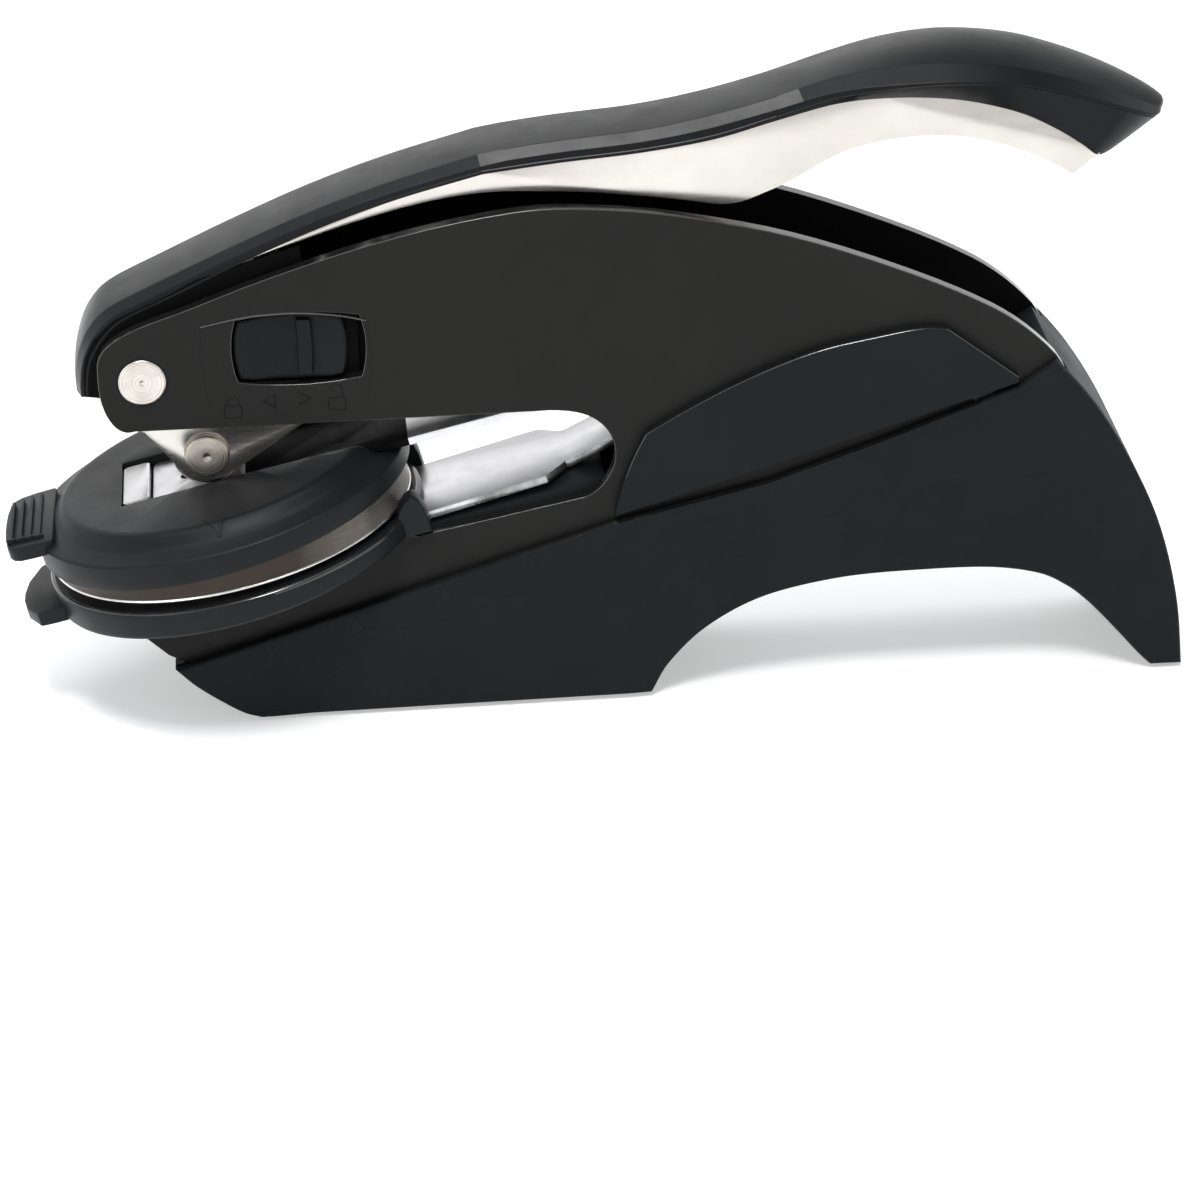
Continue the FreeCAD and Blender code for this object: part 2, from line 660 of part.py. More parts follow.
def tail_bend():
    # Mid line of the bend that joins the lower leaf to the lap under the upper one.
    a1 = math.radians(TAIL_RISE)
    a2 = math.radians(-OPEN_ANGLE)
    kink_h = JAW_GAP + LEAF_THICK / 2 + LEAF_RISE
    start_h = kink_h + (TAIL_AT - SHOULDER_AT - TAIL_WIDTH / 3) * math.tan(a1)
    lap_h = ROOT_H - FIT
    r = (lap_h - start_h) / (math.cos(a1) + math.cos(a2))
    centre = V(TAIL_AT - r * math.sin(a1), 0, start_h + r * math.cos(a1))
    return a1, a2, start_h, lap_h, r, centre


def bend_point(centre, radius, angle):
    return centre + V(radius * math.cos(angle), 0, radius * math.sin(angle))


def stop_place():
    a1, a2, start_h, lap_h, r, centre = tail_bend()
    reach = r + LEAF_THICK / 2 + JAW_GAP + STOP_R
    return die_point(centre.x + reach, centre.z)


def make_tail_stop():
    p = stop_place()
    export("tail_stop", rod(p.x, p.z, STOP_R, -PLATE_IN, PLATE_IN))


# ---- lever ----
def lever_faces():
    web_top = [handle_point(s) for s in web_top_share]
    web_low = [handle_point(s) for s in web_low_share]
    rear = [handle_point(s) for s in cheek_rear_share]
    front = [handle_point(s) for s in cheek_front_share]
    lobe_rear = turned(ROLLER + V(LOBE_R, 0, 0), ROLLER, math.radians(-62.0))
    lobe_front = turned(ROLLER + V(LOBE_R, 0, 0), ROLLER, math.radians(-142.0))
    lobe_low = ROLLER + V(0, 0, -LOBE_R)
    lobe = Part.Arc(lobe_rear, turned(lobe_low, ROLLER, math.radians(-12.0)), lobe_front).toShape()
    edges = [curve(web_top)]
    edges.append(Part.LineSegment(web_low[0], web_low[1]).toShape())
    edges.append(curve(web_low[1:]))
    edges.append(curve(rear))
    edges.append(Part.LineSegment(rear[-1], lobe_rear).toShape())
    edges.append(lobe)
    edges.append(Part.LineSegment(lobe_front, front[0]).toShape())
    edges.append(curve(front))
    outer = Part.Face(Part.Wire(Part.__sortEdges__(edges)))
    inner_top = curve([p - V(0, 0, SHEET_THICK) for p in web_top[3:-1]])
    a = inner_top.valueAt(inner_top.FirstParameter)
    b = inner_top.valueAt(inner_top.LastParameter)
    low = PIVOT.z - HANDLE_RISE
    nose = web_top[1].x + SHEET_THICK
    ring = [a, V(nose, 0, web_top[1].z), V(nose, 0, low)]
    ring += [V(b.x + OVERRUN, 0, low), V(b.x + OVERRUN, 0, b.z), b]
    inner_edges = [inner_top] + [Part.LineSegment(p, q).toShape() for p, q in zip(ring, ring[1:])]
    inner = Part.Face(Part.Wire(Part.__sortEdges__(inner_edges)))
    return outer, inner, web_top


def web_height(share_x):
    # Top of the web at a share of the handle's length.
    for a, b in zip(web_top_share, web_top_share[1:]):
        if a[0] <= share_x <= b[0]:
            t = (share_x - a[0]) / (b[0] - a[0])
            return handle_point((share_x, a[1] + t * (b[1] - a[1])))
    return handle_point(web_top_share[-1])


def make_lever():
    outer, inner, web_top = lever_faces()
    channel = slab(outer, -LEVER_OUT, LEVER_OUT)
    cuts = [slab(inner, -LEVER_IN, LEVER_IN)]
    cuts.append(rod(PIVOT.x, PIVOT.z, PIVOT_R + RUN_FIT, -PLATE_OUT, PLATE_OUT))
    cuts.append(rod(ROLLER.x, ROLLER.z, ROLLER_PIN_R + SEAT, -PLATE_OUT, PLATE_OUT))
    for share in grip_screw_shares:
        p = web_height(share)
        cuts.append(Part.makeCylinder(GRIP_SCREW_R + SEAT, HANDLE_RISE, V(p.x, 0, p.z - HANDLE_RISE / 2)))
    export("lever_channel", channel.cut(cuts))


def cover_section(row):
    # Faceted section: a foot beside the cheek, the widest line, a shoulder, a
    # crease and the crown, the same on both sides.
    outer = handle_point(row[0:2])
    inner = handle_point(row[2:4])
    way = outer - inner
    slim = LEVER_OUT + COVER_SKIRT
    half = slim + (GRIP_WIDTH / 2 - slim) * row[4]
    places = [
        (min(half, slim), 0), (half, row[5]), (half * row[6], row[7]), (half * row[8], row[9]),
    ]
    near = [inner + way * up + V(0, -out, 0) for out, up in places]
    far = [inner + way * up + V(0, out, 0) for out, up in places]
    ring = near + [outer] + far[::-1]
    return Part.makePolygon(ring + [ring[0]])


def finer(rows):
    # Rows in between, on a smooth run through the given ones.
    first = [2 * p - q for p, q in zip(rows[0], rows[1])]
    last = [2 * p - q for p, q in zip(rows[-1], rows[-2])]
    run = [first] + rows + [last]
    out = []
    for i in range(len(rows) - 1):
        group = list(zip(run[i], run[i + 1], run[i + 2], run[i + 3]))
        for k in range(ROW_STEPS):
            t = k / ROW_STEPS
            out.append([catmull(values, t) for values in group])
    out.append(rows[-1])
    return out


def catmull(values, t):
    p, q, r, s = values
    bend = (2 * p - 5 * q + 4 * r - s) * t ** 2 + (3 * q - p - 3 * r + s) * t ** 3
    return (2 * q + (r - p) * t + bend) / 2


def cover_body():
    rows = finer(front_section_share) + finer(rear_section_share)[1:]
    return Part.makeLoft([cover_section(row) for row in rows], True, True)


def make_cover():
    body = cover_body()
    web_top = [handle_point(s) + V(0, 0, COVER_FIT) for s in web_top_share]
    web_top[0] = web_top[0] + V(-COVER_FIT, 0, 0)
    web_top[1] = web_top[1] + V(-COVER_FIT, 0, 0)
    last = web_top[-1] + V(COVER_FIT, 0, 0)
    low = PIVOT.z - HANDLE_RISE
    roof = curve(web_top)
    ring = [web_top[-1], last, V(last.x, 0, low), V(web_top[0].x, 0, low), web_top[0]]
    edges = [roof] + [Part.LineSegment(p, q).toShape() for p, q in zip(ring, ring[1:])]
    half = LEVER_OUT + COVER_FIT
    slot = slab(Part.Face(Part.Wire(Part.__sortEdges__(edges))), -half, half)
    cuts = [slot]
    for share in grip_screw_shares:
        p = web_height(share)
        deep = GRIP_SCREW_DEEP + SEAT
        cuts.append(Part.makeCylinder(GRIP_SCREW_R + SEAT, deep + SHEET_THICK, V(p.x, 0, p.z - SHEET_THICK)))
    export("handle_cover", body.cut(cuts))


def make_grip_screws():
    shapes = []
    for share in grip_screw_shares:
        p = web_height(share)
        long = GRIP_SCREW_DEEP + 2 * SHEET_THICK
        shank = Part.makeCylinder(GRIP_SCREW_R, long, V(p.x, 0, p.z - 2 * SHEET_THICK))
        head = Part.makeCylinder(GRIP_SCREW_HEAD_R, SHEET_THICK, V(p.x, 0, p.z - 3 * SHEET_THICK))
        shapes.append(shank.fuse(head))
    export("handle_screws", group(shapes))


def make_roller():
    half = LEVER_IN - RUN_FIT * 2
    roller = rod(ROLLER.x, ROLLER.z, ROLLER_R, -half, half)
    rims = [e for e in roller.Edges if isinstance(e.Curve, Part.Circle)]
    roller = roller.makeChamfer(PIN_DOME, rims)
    bore = rod(ROLLER.x, ROLLER.z, ROLLER_PIN_R + RUN_FIT, -PLATE_OUT, PLATE_OUT)
    export("press_roller", roller.cut(bore))
    pin = rod(ROLLER.x, ROLLER.z, ROLLER_PIN_R, -LEVER_OUT, LEVER_OUT)
    reach = LEVER_OUT + ROLLER_HEAD_HIGH
    heads = []
    for y0, y1 in ((-reach, -LEVER_OUT), (LEVER_OUT, reach)):
        heads.append(rod(ROLLER.x, ROLLER.z, ROLLER_HEAD_R, y0, y1))
    export("roller_pin", pin.fuse(heads).removeSplitter())


# ---- lock ----
def make_lock():
    centre = LOCK + V(-LOCK_TRAVEL / 2, 0, 0)
    long = LOCK_WINDOW_LONG - LOCK_TRAVEL - 2 * LOCK_GAP
    high = LOCK_WINDOW_HIGH - 2 * LOCK_GAP
    face = lock_window(long, high, LOCK_BULGE, centre)
    back = -PLATE_IN + FIT
    button = slab(face, -PLATE_OUT + LOCK_PROUD, back)
    dish_y = -PLATE_OUT + LOCK_PROUD + LOCK_DISH - LOCK_DISH_R
    dish = Part.makeCylinder(LOCK_DISH_R, FRAME_HEIGHT, V(centre.x, dish_y, 0))
    keep = block(
        centre.x - LOCK_RIB / 2, centre.x + LOCK_RIB / 2, -PLATE_OUT, back,
        centre.z - high / 2 + LOCK_RIB / 2, centre.z + high / 2 - LOCK_RIB / 2)
    button = button.cut(dish.cut(keep))
    export("lock_slider", button)
    x0 = centre.x - long / 2 - LOCK_TRAVEL
    x1 = centre.x + long / 2 + LOCK_TRAVEL
    z0 = centre.z - high / 2 - LOCK_TRAVEL
    z1 = centre.z + high / 2 + LOCK_TRAVEL
    export("lock_bolt", block(x0, x1, back, back + BOLT_THICK, z0, z1))


# ---- insert ----
def half_space(h, above, wedge):
    # Half space over or under a plane at h that falls to the rear by the wedge.
    size = 4 * HOLDER_R
    box = Part.makeBox(size, size, size, V(-size / 2, -size / 2, 0))
    if not above:
        box = box.translated(V(0, 0, -size))
    return box.rotated(V(0, 0, 0), V(0, 1, 0), wedge).translated(V(0, 0, h))


def face_plane(h, above):
    return half_space(h, above, FACE_WEDGE)


def on_face(shape, h):
    return shape.rotated(V(0, 0, 0), V(0, 1, 0), FACE_WEDGE).translated(V(0, 0, h))


def leaf_slot(width, s_front, h_low, h_high):
    return block(s_front, TAIL_AT, -width / 2, width / 2, h_low, h_high)


LOWER_LEAF_LOW = JAW_GAP
CAP_LOW = LOWER_HIGH + CLOSED_GAP + BODY_HIGH
LOWER_LEAF_FRONT = -DIE_R * 0.7


def make_lower_holder():
    body = Part.makeCylinder(HOLDER_R, 2 * LOWER_HIGH).cut(face_plane(LOWER_HIGH, True))
    tab = grip_tab(0, TAB_THICK)
    ears = []
    for side in (-1, 1):
        y0 = side * (LOWER_LEAF_WIDTH / 2 + SHEET_THICK / 2)
        y1 = y0 + side * EAR_WIDTH
        x0 = HOLDER_R - EAR_LONG
        ear = block(x0, HOLDER_R + SHEET_THICK, min(y0, y1), max(y0, y1), 0, EAR_HIGH)
        high = [e for e in ear.Edges if e.BoundBox.ZMin > EAR_HIGH / 2]
        tops = [e for e in high if e.BoundBox.YLength > EAR_WIDTH / 2]
        ears.append(ear.makeFillet(EAR_LONG / 2, tops))
    room = Part.makeCylinder(BODY_R + JAW_GAP, EAR_HIGH).common(face_plane(LOWER_HIGH, True))
    ears = [ear.cut(room) for ear in ears]
    body = body.fuse([tab] + ears).removeSplitter()
    recess = on_face(Part.makeCylinder(DIE_R + FIT, DIE_THICK + OVERRUN, V(0, 0, -DIE_THICK)), LOWER_HIGH)
    wide = LOWER_LEAF_WIDTH + 2 * FIT
    cuts = [recess, leaf_slot(wide, LOWER_LEAF_FRONT - FIT, -OVERRUN, LOWER_LEAF_LOW + LEAF_THICK)]
    for x, y in lower_rivets():
        cuts.append(Part.makeCylinder(LEAF_RIVET_R + SEAT, 2 * LOWER_HIGH, V(x, y, 0)))
    export("lower_holder", place_die(body.cut(cuts)))


def grip_tab(h0, h1):
    # Pull tab at the front of a holder, with rounded corners.
    half = TAB_WIDTH / 2
    tab = block(-HOLDER_R - TAB_REACH, -HOLDER_R * 0.85, -half, half, h0, h1)
    corners = [e for e in tab.Edges if e.BoundBox.ZLength > (h1 - h0) / 2 and e.BoundBox.XMax < -HOLDER_R]
    return tab.makeFillet(TAB_REACH * 0.8, corners)


def make_dies():
    lower = Part.makeCylinder(DIE_R, DIE_THICK, V(0, 0, -DIE_THICK))
    export("counter_die", place_die(on_face(lower, LOWER_HIGH)))
    face_h = LOWER_HIGH + CLOSED_GAP
    upper = Part.makeCylinder(DIE_R, DIE_THICK)
    export("engraved_die", place_die(on_face(upper, face_h), True))


def make_die_body():
    face_h = LOWER_HIGH + CLOSED_GAP
    drum = Part.makeCylinder(BODY_R, STACK).cut(face_plane(face_h, False))
    drum = drum.cut(half_space(CAP_LOW - SEAT, True, -CAP_WEDGE))
    low = CAP_LOW - BODY_HIGH / 2
    rim = [e for e in drum.Edges if e.BoundBox.ZMax < low and e.BoundBox.XLength > BODY_R]
    drum = drum.makeChamfer(PIN_DOME, rim)
    recess = on_face(Part.makeCylinder(DIE_R + FIT, DIE_THICK + OVERRUN, V(0, 0, -OVERRUN)), face_h)
    export("upper_die_body", place_die(drum.cut(recess), True))


def make_cap():
    r = HOLDER_R
    foot = r - CAP_RING
    lip = CAP_WALL * 0.06
    top = STACK
    crown = top + CROWN_HIGH
    swell = [V(foot - CROWN_SLOPE, 0, crown), V(foot / 2, 0, crown + CROWN_SWELL * 0.8)]
    swell.append(V(0, 0, crown + CROWN_SWELL))
    profile = outline([
        ([V(0, 0, LOWER_HIGH), V(r, 0, LOWER_HIGH), V(r, 0, top - lip), V(r - lip, 0, top)], False),
        ([V(r - lip, 0, top), V(foot, 0, top), V(foot - CROWN_SLOPE, 0, crown)], False),
        (swell, True),
        ([V(0, 0, crown + CROWN_SWELL), V(0, 0, LOWER_HIGH)], False),
    ])
    cap = profile.revolve(V(0, 0, 0), V(0, 0, 1), 360)
    cap = cap.cut(half_space(CAP_LOW, False, -CAP_WEDGE))
    tab = grip_tab(top - TAB_THICK - TAB_RIDGE, top - TAB_RIDGE)
    ridges = []
    for k in range(4):
        x = -r - TAB_REACH * 0.85 + k * TAB_RIDGE * 3.4
        ridges.append(block(x, x + TAB_RIDGE, -TAB_WIDTH * 0.36, TAB_WIDTH * 0.36, top - TAB_THICK, top))
    cap = cap.fuse([tab] + ridges).removeSplitter()
    floor = top - LEAF_THICK
    cuts = [leaf_slot(CHANNEL_WIDTH, -CHANNEL_FRONT, floor, top + 4 * CROWN_HIGH)]
    for x, y in upper_screws():
        cuts.append(Part.makeCylinder(LEAF_RIVET_R + SEAT, STACK, V(x, y, 0)))
    export("upper_cap", place_die(cap.cut(cuts), True))


def make_leaf_catch():
    # Raised front end of the upper strip, flush with the crown of the cap.
    x0 = -CHANNEL_FRONT + FIT
    half = CATCH_WIDTH / 2
    catch = block(x0, x0 + CATCH_LONG, -half, half, STACK - LEAF_THICK + SEAT, STACK + CATCH_HIGH)
    corners = [e for e in catch.Edges if e.BoundBox.ZLength > LEAF_THICK / 2]
    catch = catch.makeFillet(CATCH_HIGH, corners)
    export("leaf_catch", place_die(catch, True))


def lower_rivets():
    rear = DIE_R * 0.7
    return [(LOWER_LEAF_FRONT * 0.6, 0), (rear, LOWER_LEAF_WIDTH / 4), (rear, -LOWER_LEAF_WIDTH / 4)]


def upper_screws():
    rear = DIE_R * 0.75
    return [(-CHANNEL_FRONT * 0.3, 0), (rear, UPPER_LEAF_WIDTH / 4), (rear, -UPPER_LEAF_WIDTH / 4)]


def tail_rivets():
    a1, a2, start_h, lap_h, r, centre = tail_bend()
    x = TAIL_AT
    return [(x, -TAIL_WIDTH / 4), (x, TAIL_WIDTH / 4)]


def make_lower_leaf():
    a1, a2, start_h, lap_h, r, centre = tail_bend()
    t = LEAF_THICK / 2
    low = LOWER_LEAF_LOW
    top = low + LEAF_THICK
    kink = SHOULDER_AT + TAIL_WIDTH / 3
    n1 = V(-math.sin(a1), 0, math.cos(a1))
    n2 = V(-math.sin(a2), 0, math.cos(a2))
    tail_mid = centre - n1 * r
    lap_mid = centre + n2 * r
    back = V(-math.cos(a2), 0, -math.sin(a2)) * LAP
    mid_angle = (a1 + a2) / 2
    p = [
        V(LOWER_LEAF_FRONT, 0, top), V(LOWER_LEAF_FRONT, 0, low), V(HOLDER_R, 0, low),
        V(kink, 0, low + LEAF_RISE), tail_mid - n1 * t, lap_mid + n2 * t,
        lap_mid + n2 * t + back, lap_mid - n2 * t + back,
        lap_mid - n2 * t, tail_mid + n1 * t, V(kink, 0, top + LEAF_RISE), V(HOLDER_R, 0, top),
    ]
    edges = [Part.LineSegment(p[i], p[i + 1]).toShape() for i in (0, 1, 2, 3, 5, 6, 7, 9, 10)]
    edges.append(Part.LineSegment(p[11], p[0]).toShape())
    edges.append(Part.Arc(p[4], bend_point(centre, r + t, mid_angle), p[5]).toShape())
    edges.append(Part.Arc(p[8], bend_point(centre, r - t, mid_angle), p[9]).toShape())
    side = Part.Face(Part.Wire(Part.__sortEdges__(edges)))
    strip = slab(side, -LOWER_LEAF_WIDTH / 2, LOWER_LEAF_WIDTH / 2)
    wide = LOWER_LEAF_WIDTH / 2
    thin = TAIL_WIDTH / 2
    far = TAIL_AT + 2 * r
    corner = SHOULDER_AT + wide - thin
    plan = polygon([
        V(LOWER_LEAF_FRONT, -wide, 0), V(SHOULDER_AT, -wide, 0), V(corner, -thin, 0), V(far, -thin, 0),
        V(far, thin, 0), V(corner, thin, 0), V(SHOULDER_AT, wide, 0), V(LOWER_LEAF_FRONT, wide, 0),
    ])
    strip = strip.common(plan.extrude(V(0, 0, 2 * STACK)))
    cuts = []
    for x, y in lower_rivets():
        cuts.append(Part.makeCylinder(LEAF_RIVET_R + SEAT, LOWER_HIGH, V(x, y, 0)))
    for x, y in tail_rivets():
        cuts.append(Part.makeCylinder(LEAF_RIVET_R + SEAT, STACK, V(x, y, centre.z)))
    export("lower_leaf", place_die(strip.cut(cuts)))


def make_upper_leaf():
    top = UPPER_LEAF_TOP
    low = top - LEAF_THICK
    front = -CHANNEL_FRONT + CATCH_LONG + CATCH_GAP
    end = TAIL_AT + LAP / 2
    leaf = block(front, end, -UPPER_LEAF_WIDTH / 2, UPPER_LEAF_WIDTH / 2, low, top)
    corners = [e for e in leaf.Edges if e.BoundBox.ZLength > LEAF_THICK / 2]
    leaf = leaf.makeFillet(SHEET_THICK, corners)
    cuts = []
    for x, y in upper_screws():
        cuts.append(Part.makeCylinder(LEAF_RIVET_R + SEAT, LEAF_THICK, V(x, y, low)))
    for x, y in tail_rivets():
        cuts.append(Part.makeCylinder(LEAF_RIVET_R + 2 * FIT, LEAF_THICK, V(x, y, low)))
    export("upper_leaf", place_die(leaf.cut(cuts), True))


def make_insert_rivets():
    pins = []
    wedge = math.tan(math.radians(FACE_WEDGE))
    for x, y in lower_rivets():
        floor = LOWER_HIGH - DIE_THICK - (x + LEAF_RIVET_R) * wedge - SEAT
        pins.append(Part.makeCylinder(LEAF_RIVET_R, floor - LOWER_LEAF_LOW, V(x, y, LOWER_LEAF_LOW)))
    export("lower_leaf_rivets", place_die(group(pins)))
    pins = []
    for x, y in upper_screws():
        low = CAP_LOW + LEAF_THICK
        pins.append(Part.makeCylinder(LEAF_RIVET_R, STACK - low, V(x, y, low)))
    export("upper_leaf_screws", place_die(group(pins), True))
    a1, a2, start_h, lap_h, r, centre = tail_bend()
    pins = []
    for x, y in tail_rivets():
        low = lap_h - LEAF_THICK / 2
        high = UPPER_LEAF_TOP - 4 * SEAT
        shank = Part.makeCylinder(LEAF_RIVET_R, high - low, V(x, y, low))
        pins.append(shank)
    export("tail_rivets", place_die(group(pins)))


# ---- return spring ----
def up_angle():
    # The upper arm leans a little more than the web above it.
    web = handle_point(web_top_share[8]) - handle_point(web_top_share[5])
    return math.degrees(math.atan2(web.z, web.x)) + SPRING_LEAN


def spring_total():
    # Turns between the two arms, which leave the coil along its tangents.
    start = 90.0 + up_angle()
    end = 270.0 + SPRING_DOWN_ANGLE
    return SPRING_TURNS + (end - start) / 360.0


def spring_point(turn):
    a = math.radians(90.0 + up_angle()) + 2 * math.pi * turn
    y = SPRING_PITCH * (turn - spring_total() / 2)
    return V(PIVOT.x + SPRING_R * math.cos(a), y, PIVOT.z + SPRING_R * math.sin(a))


def anchor_place():
    # The bar lies just under the still arm of the spring.
    a = math.radians(SPRING_DOWN_ANGLE)
    along = V(math.cos(a), 0, math.sin(a))
    down = V(math.sin(a), 0, -math.cos(a))
    reach = SPRING_DOWN_ARM - SPRING_PAST
    return spring_point(spring_total()) + along * reach + down * (SPRING_WIRE_R + ANCHOR_R + FIT)


def make_spring():
    steps = 22
    edges = []
    points = [spring_point(spring_total() * k / (2 * steps)) for k in range(2 * steps + 1)]
    for k in range(steps):
        edges.append(Part.Arc(points[2 * k], points[2 * k + 1], points[2 * k + 2]).toShape())
    first = edges[0].tangentAt(edges[0].FirstParameter)
    last = edges[-1].tangentAt(edges[-1].LastParameter)
    tip = points[0] - first * SPRING_UP_ARM
    tail = points[-1] + last * SPRING_DOWN_ARM
    lead = Part.LineSegment(tip, points[0]).toShape()
    trail = Part.LineSegment(points[-1], tail).toShape()
    path = Part.Wire([lead] + edges + [trail])
    ring = Part.Wire(Part.makeCircle(SPRING_WIRE_R, tip, first))
    tube = path.makePipeShell([ring], True, False)
    least = min(
        (points[i] - points[j]).Length
        for i in range(len(points)) for j in range(i + 6, len(points)))
    print("return spring: least gap to itself", round(least - 2 * SPRING_WIRE_R, 3), "mm")
    print("return spring arm ends", tip, tail)
    export("return_spring", tube)


make_plates()
make_spacers()
make_shoe()
make_jaw_block()
make_shoe_screws()
make_feet()
make_panels()
make_pivot()
make_tail_stop()
make_lever()
make_cover()
make_grip_screws()
make_roller()
make_lock()
make_lower_holder()
make_dies()
make_die_body()
make_cap()
make_leaf_catch()
make_lower_leaf()
make_upper_leaf()
make_insert_rivets()
make_spring()
print("pivot", PIVOT, "roller", ROLLER, "die centre", DIE_CENTRE)
print("root", die_point(TAIL_AT, ROOT_H))
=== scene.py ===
import bpy
import bmesh
import math
import numpy as np
from mathutils import Matrix, Vector


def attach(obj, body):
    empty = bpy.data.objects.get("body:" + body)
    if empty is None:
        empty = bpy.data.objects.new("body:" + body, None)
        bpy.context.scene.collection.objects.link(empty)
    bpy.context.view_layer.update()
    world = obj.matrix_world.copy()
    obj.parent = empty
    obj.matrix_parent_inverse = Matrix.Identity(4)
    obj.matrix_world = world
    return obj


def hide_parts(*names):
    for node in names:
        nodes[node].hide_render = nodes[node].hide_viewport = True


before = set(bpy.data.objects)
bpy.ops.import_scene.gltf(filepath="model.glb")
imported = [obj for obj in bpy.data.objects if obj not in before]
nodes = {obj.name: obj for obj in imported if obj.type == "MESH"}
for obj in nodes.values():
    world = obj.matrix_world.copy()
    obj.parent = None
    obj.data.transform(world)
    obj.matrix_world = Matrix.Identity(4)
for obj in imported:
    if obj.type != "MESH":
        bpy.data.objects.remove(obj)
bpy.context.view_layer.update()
MM = 0.001

# Sizes of the press in millimetres, the same as in its CAD source
NOSE_X, LONG, HIGH = -75.4, 167.4, 81.4
PLATE_OUT, PLATE_IN = 12.75, 10.25
PIVOT = (-68.704, 57.102)
ROLLER = (-59.704, 42.902)
HANDLE_LONG, HANDLE_RISE = 159.7, 44.4
DIE_CENTRE = (-55.320, 0.0, 23.369)
DIE_TILT, OPEN_ANGLE = 13.2, 0.75
STACK, TAIL_AT, ROOT_H = 13.4, 66.0, 11.6
HOLDER_R, DRUM_R = 30.0, 28.9

# Edges under SMOOTH degrees are shaded smooth, and edges over SHARP degrees are
# broken. Faces of a solid within FLAT degrees, and points within WELD metres, are one.
SMOOTH, SHARP, FLAT, WELD = 38.0, 34.0, 0.6, 2e-6


# ---------------------------------------------------------------- geometry
def link(obj):
    bpy.context.scene.collection.objects.link(obj)
    return obj


def tidy(obj, angle=SMOOTH):
    # Outward faces, smooth but for the edges over the angle.
    bm = bmesh.new()
    bm.from_mesh(obj.data)
    bmesh.ops.recalc_face_normals(bm, faces=bm.faces[:])
    for f in bm.faces:
        f.smooth = True
    for e in bm.edges:
        e.smooth = len(e.link_faces) != 2 or e.calc_face_angle(0.0) < math.radians(angle)
    bm.to_mesh(obj.data)
    bm.free()
    return obj


def flat_faces(obj):
    # Broad faces keep their own normals beside the broken edges.
    mod = obj.modifiers.new("normals", "WEIGHTED_NORMAL")
    mod.keep_sharp = True
    mod.weight = 90
    return obj


def mesh_object(name, verts, faces, angle=SMOOTH):
    # An object from points in millimetres.
    me = bpy.data.meshes.new(name)
    me.from_pydata([(v[0] * MM, v[1] * MM, v[2] * MM) for v in verts], [], faces)
    me.validate()
    return tidy(link(bpy.data.objects.new(name, me)), angle)


def baked(obj):
    # The object with its modifiers applied.
    dg = bpy.context.evaluated_depsgraph_get()
    me = bpy.data.meshes.new_from_object(obj.evaluated_get(dg))
    obj.modifiers.clear()
    obj.data = me
    return obj


def softened(obj, width, angle=SHARP, segments=2):
    # The object with its sharp edges broken.
    mod = obj.modifiers.new("edge", "BEVEL")
    mod.width = width * MM
    mod.segments = segments
    mod.limit_method = "ANGLE"
    mod.angle_limit = math.radians(angle)
    mod.use_clamp_overlap = True
    mod.miter_outer = "MITER_ARC"
    return tidy(baked(obj))


def carved(obj, cutters, join=False):
    # The object less the cutters, or joined with them.
    for cutter in cutters:
        mod = obj.modifiers.new("cut", "BOOLEAN")
        mod.operation = "UNION" if join else "DIFFERENCE"
        mod.solver = "EXACT"
        mod.object = cutter
        baked(obj)
        bpy.data.objects.remove(cutter)
    return obj


def dressed(node, width=0.25, segments=2):
    # A copy of a solid with its sharp edges broken, which stands for it.
    me = nodes[node].data.copy()
    bm = bmesh.new()
    bm.from_mesh(me)
    bmesh.ops.remove_doubles(bm, verts=bm.verts[:], dist=WELD)
    bmesh.ops.dissolve_limit(
        bm, angle_limit=math.radians(FLAT), use_dissolve_boundaries=False,
        verts=bm.verts[:], edges=bm.edges[:])
    bm.to_mesh(me)
    bm.free()
    obj = link(bpy.data.objects.new(node + "_dressed", me))
    softened(obj, width, segments=segments)
    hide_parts(node)
    return obj


def box_mesh(name, x0, x1, y0, y1, z0, z1):
    v = [(x, y, z) for x in (x0, x1) for y in (y0, y1) for z in (z0, z1)]
    f = [(0, 1, 3, 2), (4, 6, 7, 5), (0, 4, 5, 1), (2, 3, 7, 6), (0, 2, 6, 4), (1, 5, 7, 3)]
    return mesh_object(name, v, f)


def grid_faces(rows, columns):
    # Faces of a grid of points that are numbered row by row.
    return [
        (j * columns + i, j * columns + i + 1, (j + 1) * columns + i + 1, (j + 1) * columns + i)
        for j in range(rows - 1) for i in range(columns - 1)]


def loft(name, rings, angle=SMOOTH):
    # A skin over closed rings of points, with a cap at each end.
    n = len(rings[0])
    verts = [p for ring in rings for p in ring]
    faces = []
    for k in range(len(rings) - 1):
        for i in range(n):
            j = (i + 1) % n
            faces.append((k * n + i, k * n + j, (k + 1) * n + j, (k + 1) * n + i))
    faces.append(tuple(range(n)))
    faces.append(tuple(range((len(rings) - 1) * n, len(rings) * n)))
    return mesh_object(name, verts, faces, angle)


def turned_piece(name, rows, count, angle=SMOOTH):
    # Rows are (radius, height, rise per unit toward +s) from one end to the other.
    rings = []
    for r, h, rise in rows:
        ring = []
        for i in range(count):
            a = 2 * math.pi * i / count
            x = r * math.cos(a)
            ring.append((x, r * math.sin(a), h + rise * x))
        rings.append(ring)
    return loft(name, rings, angle)


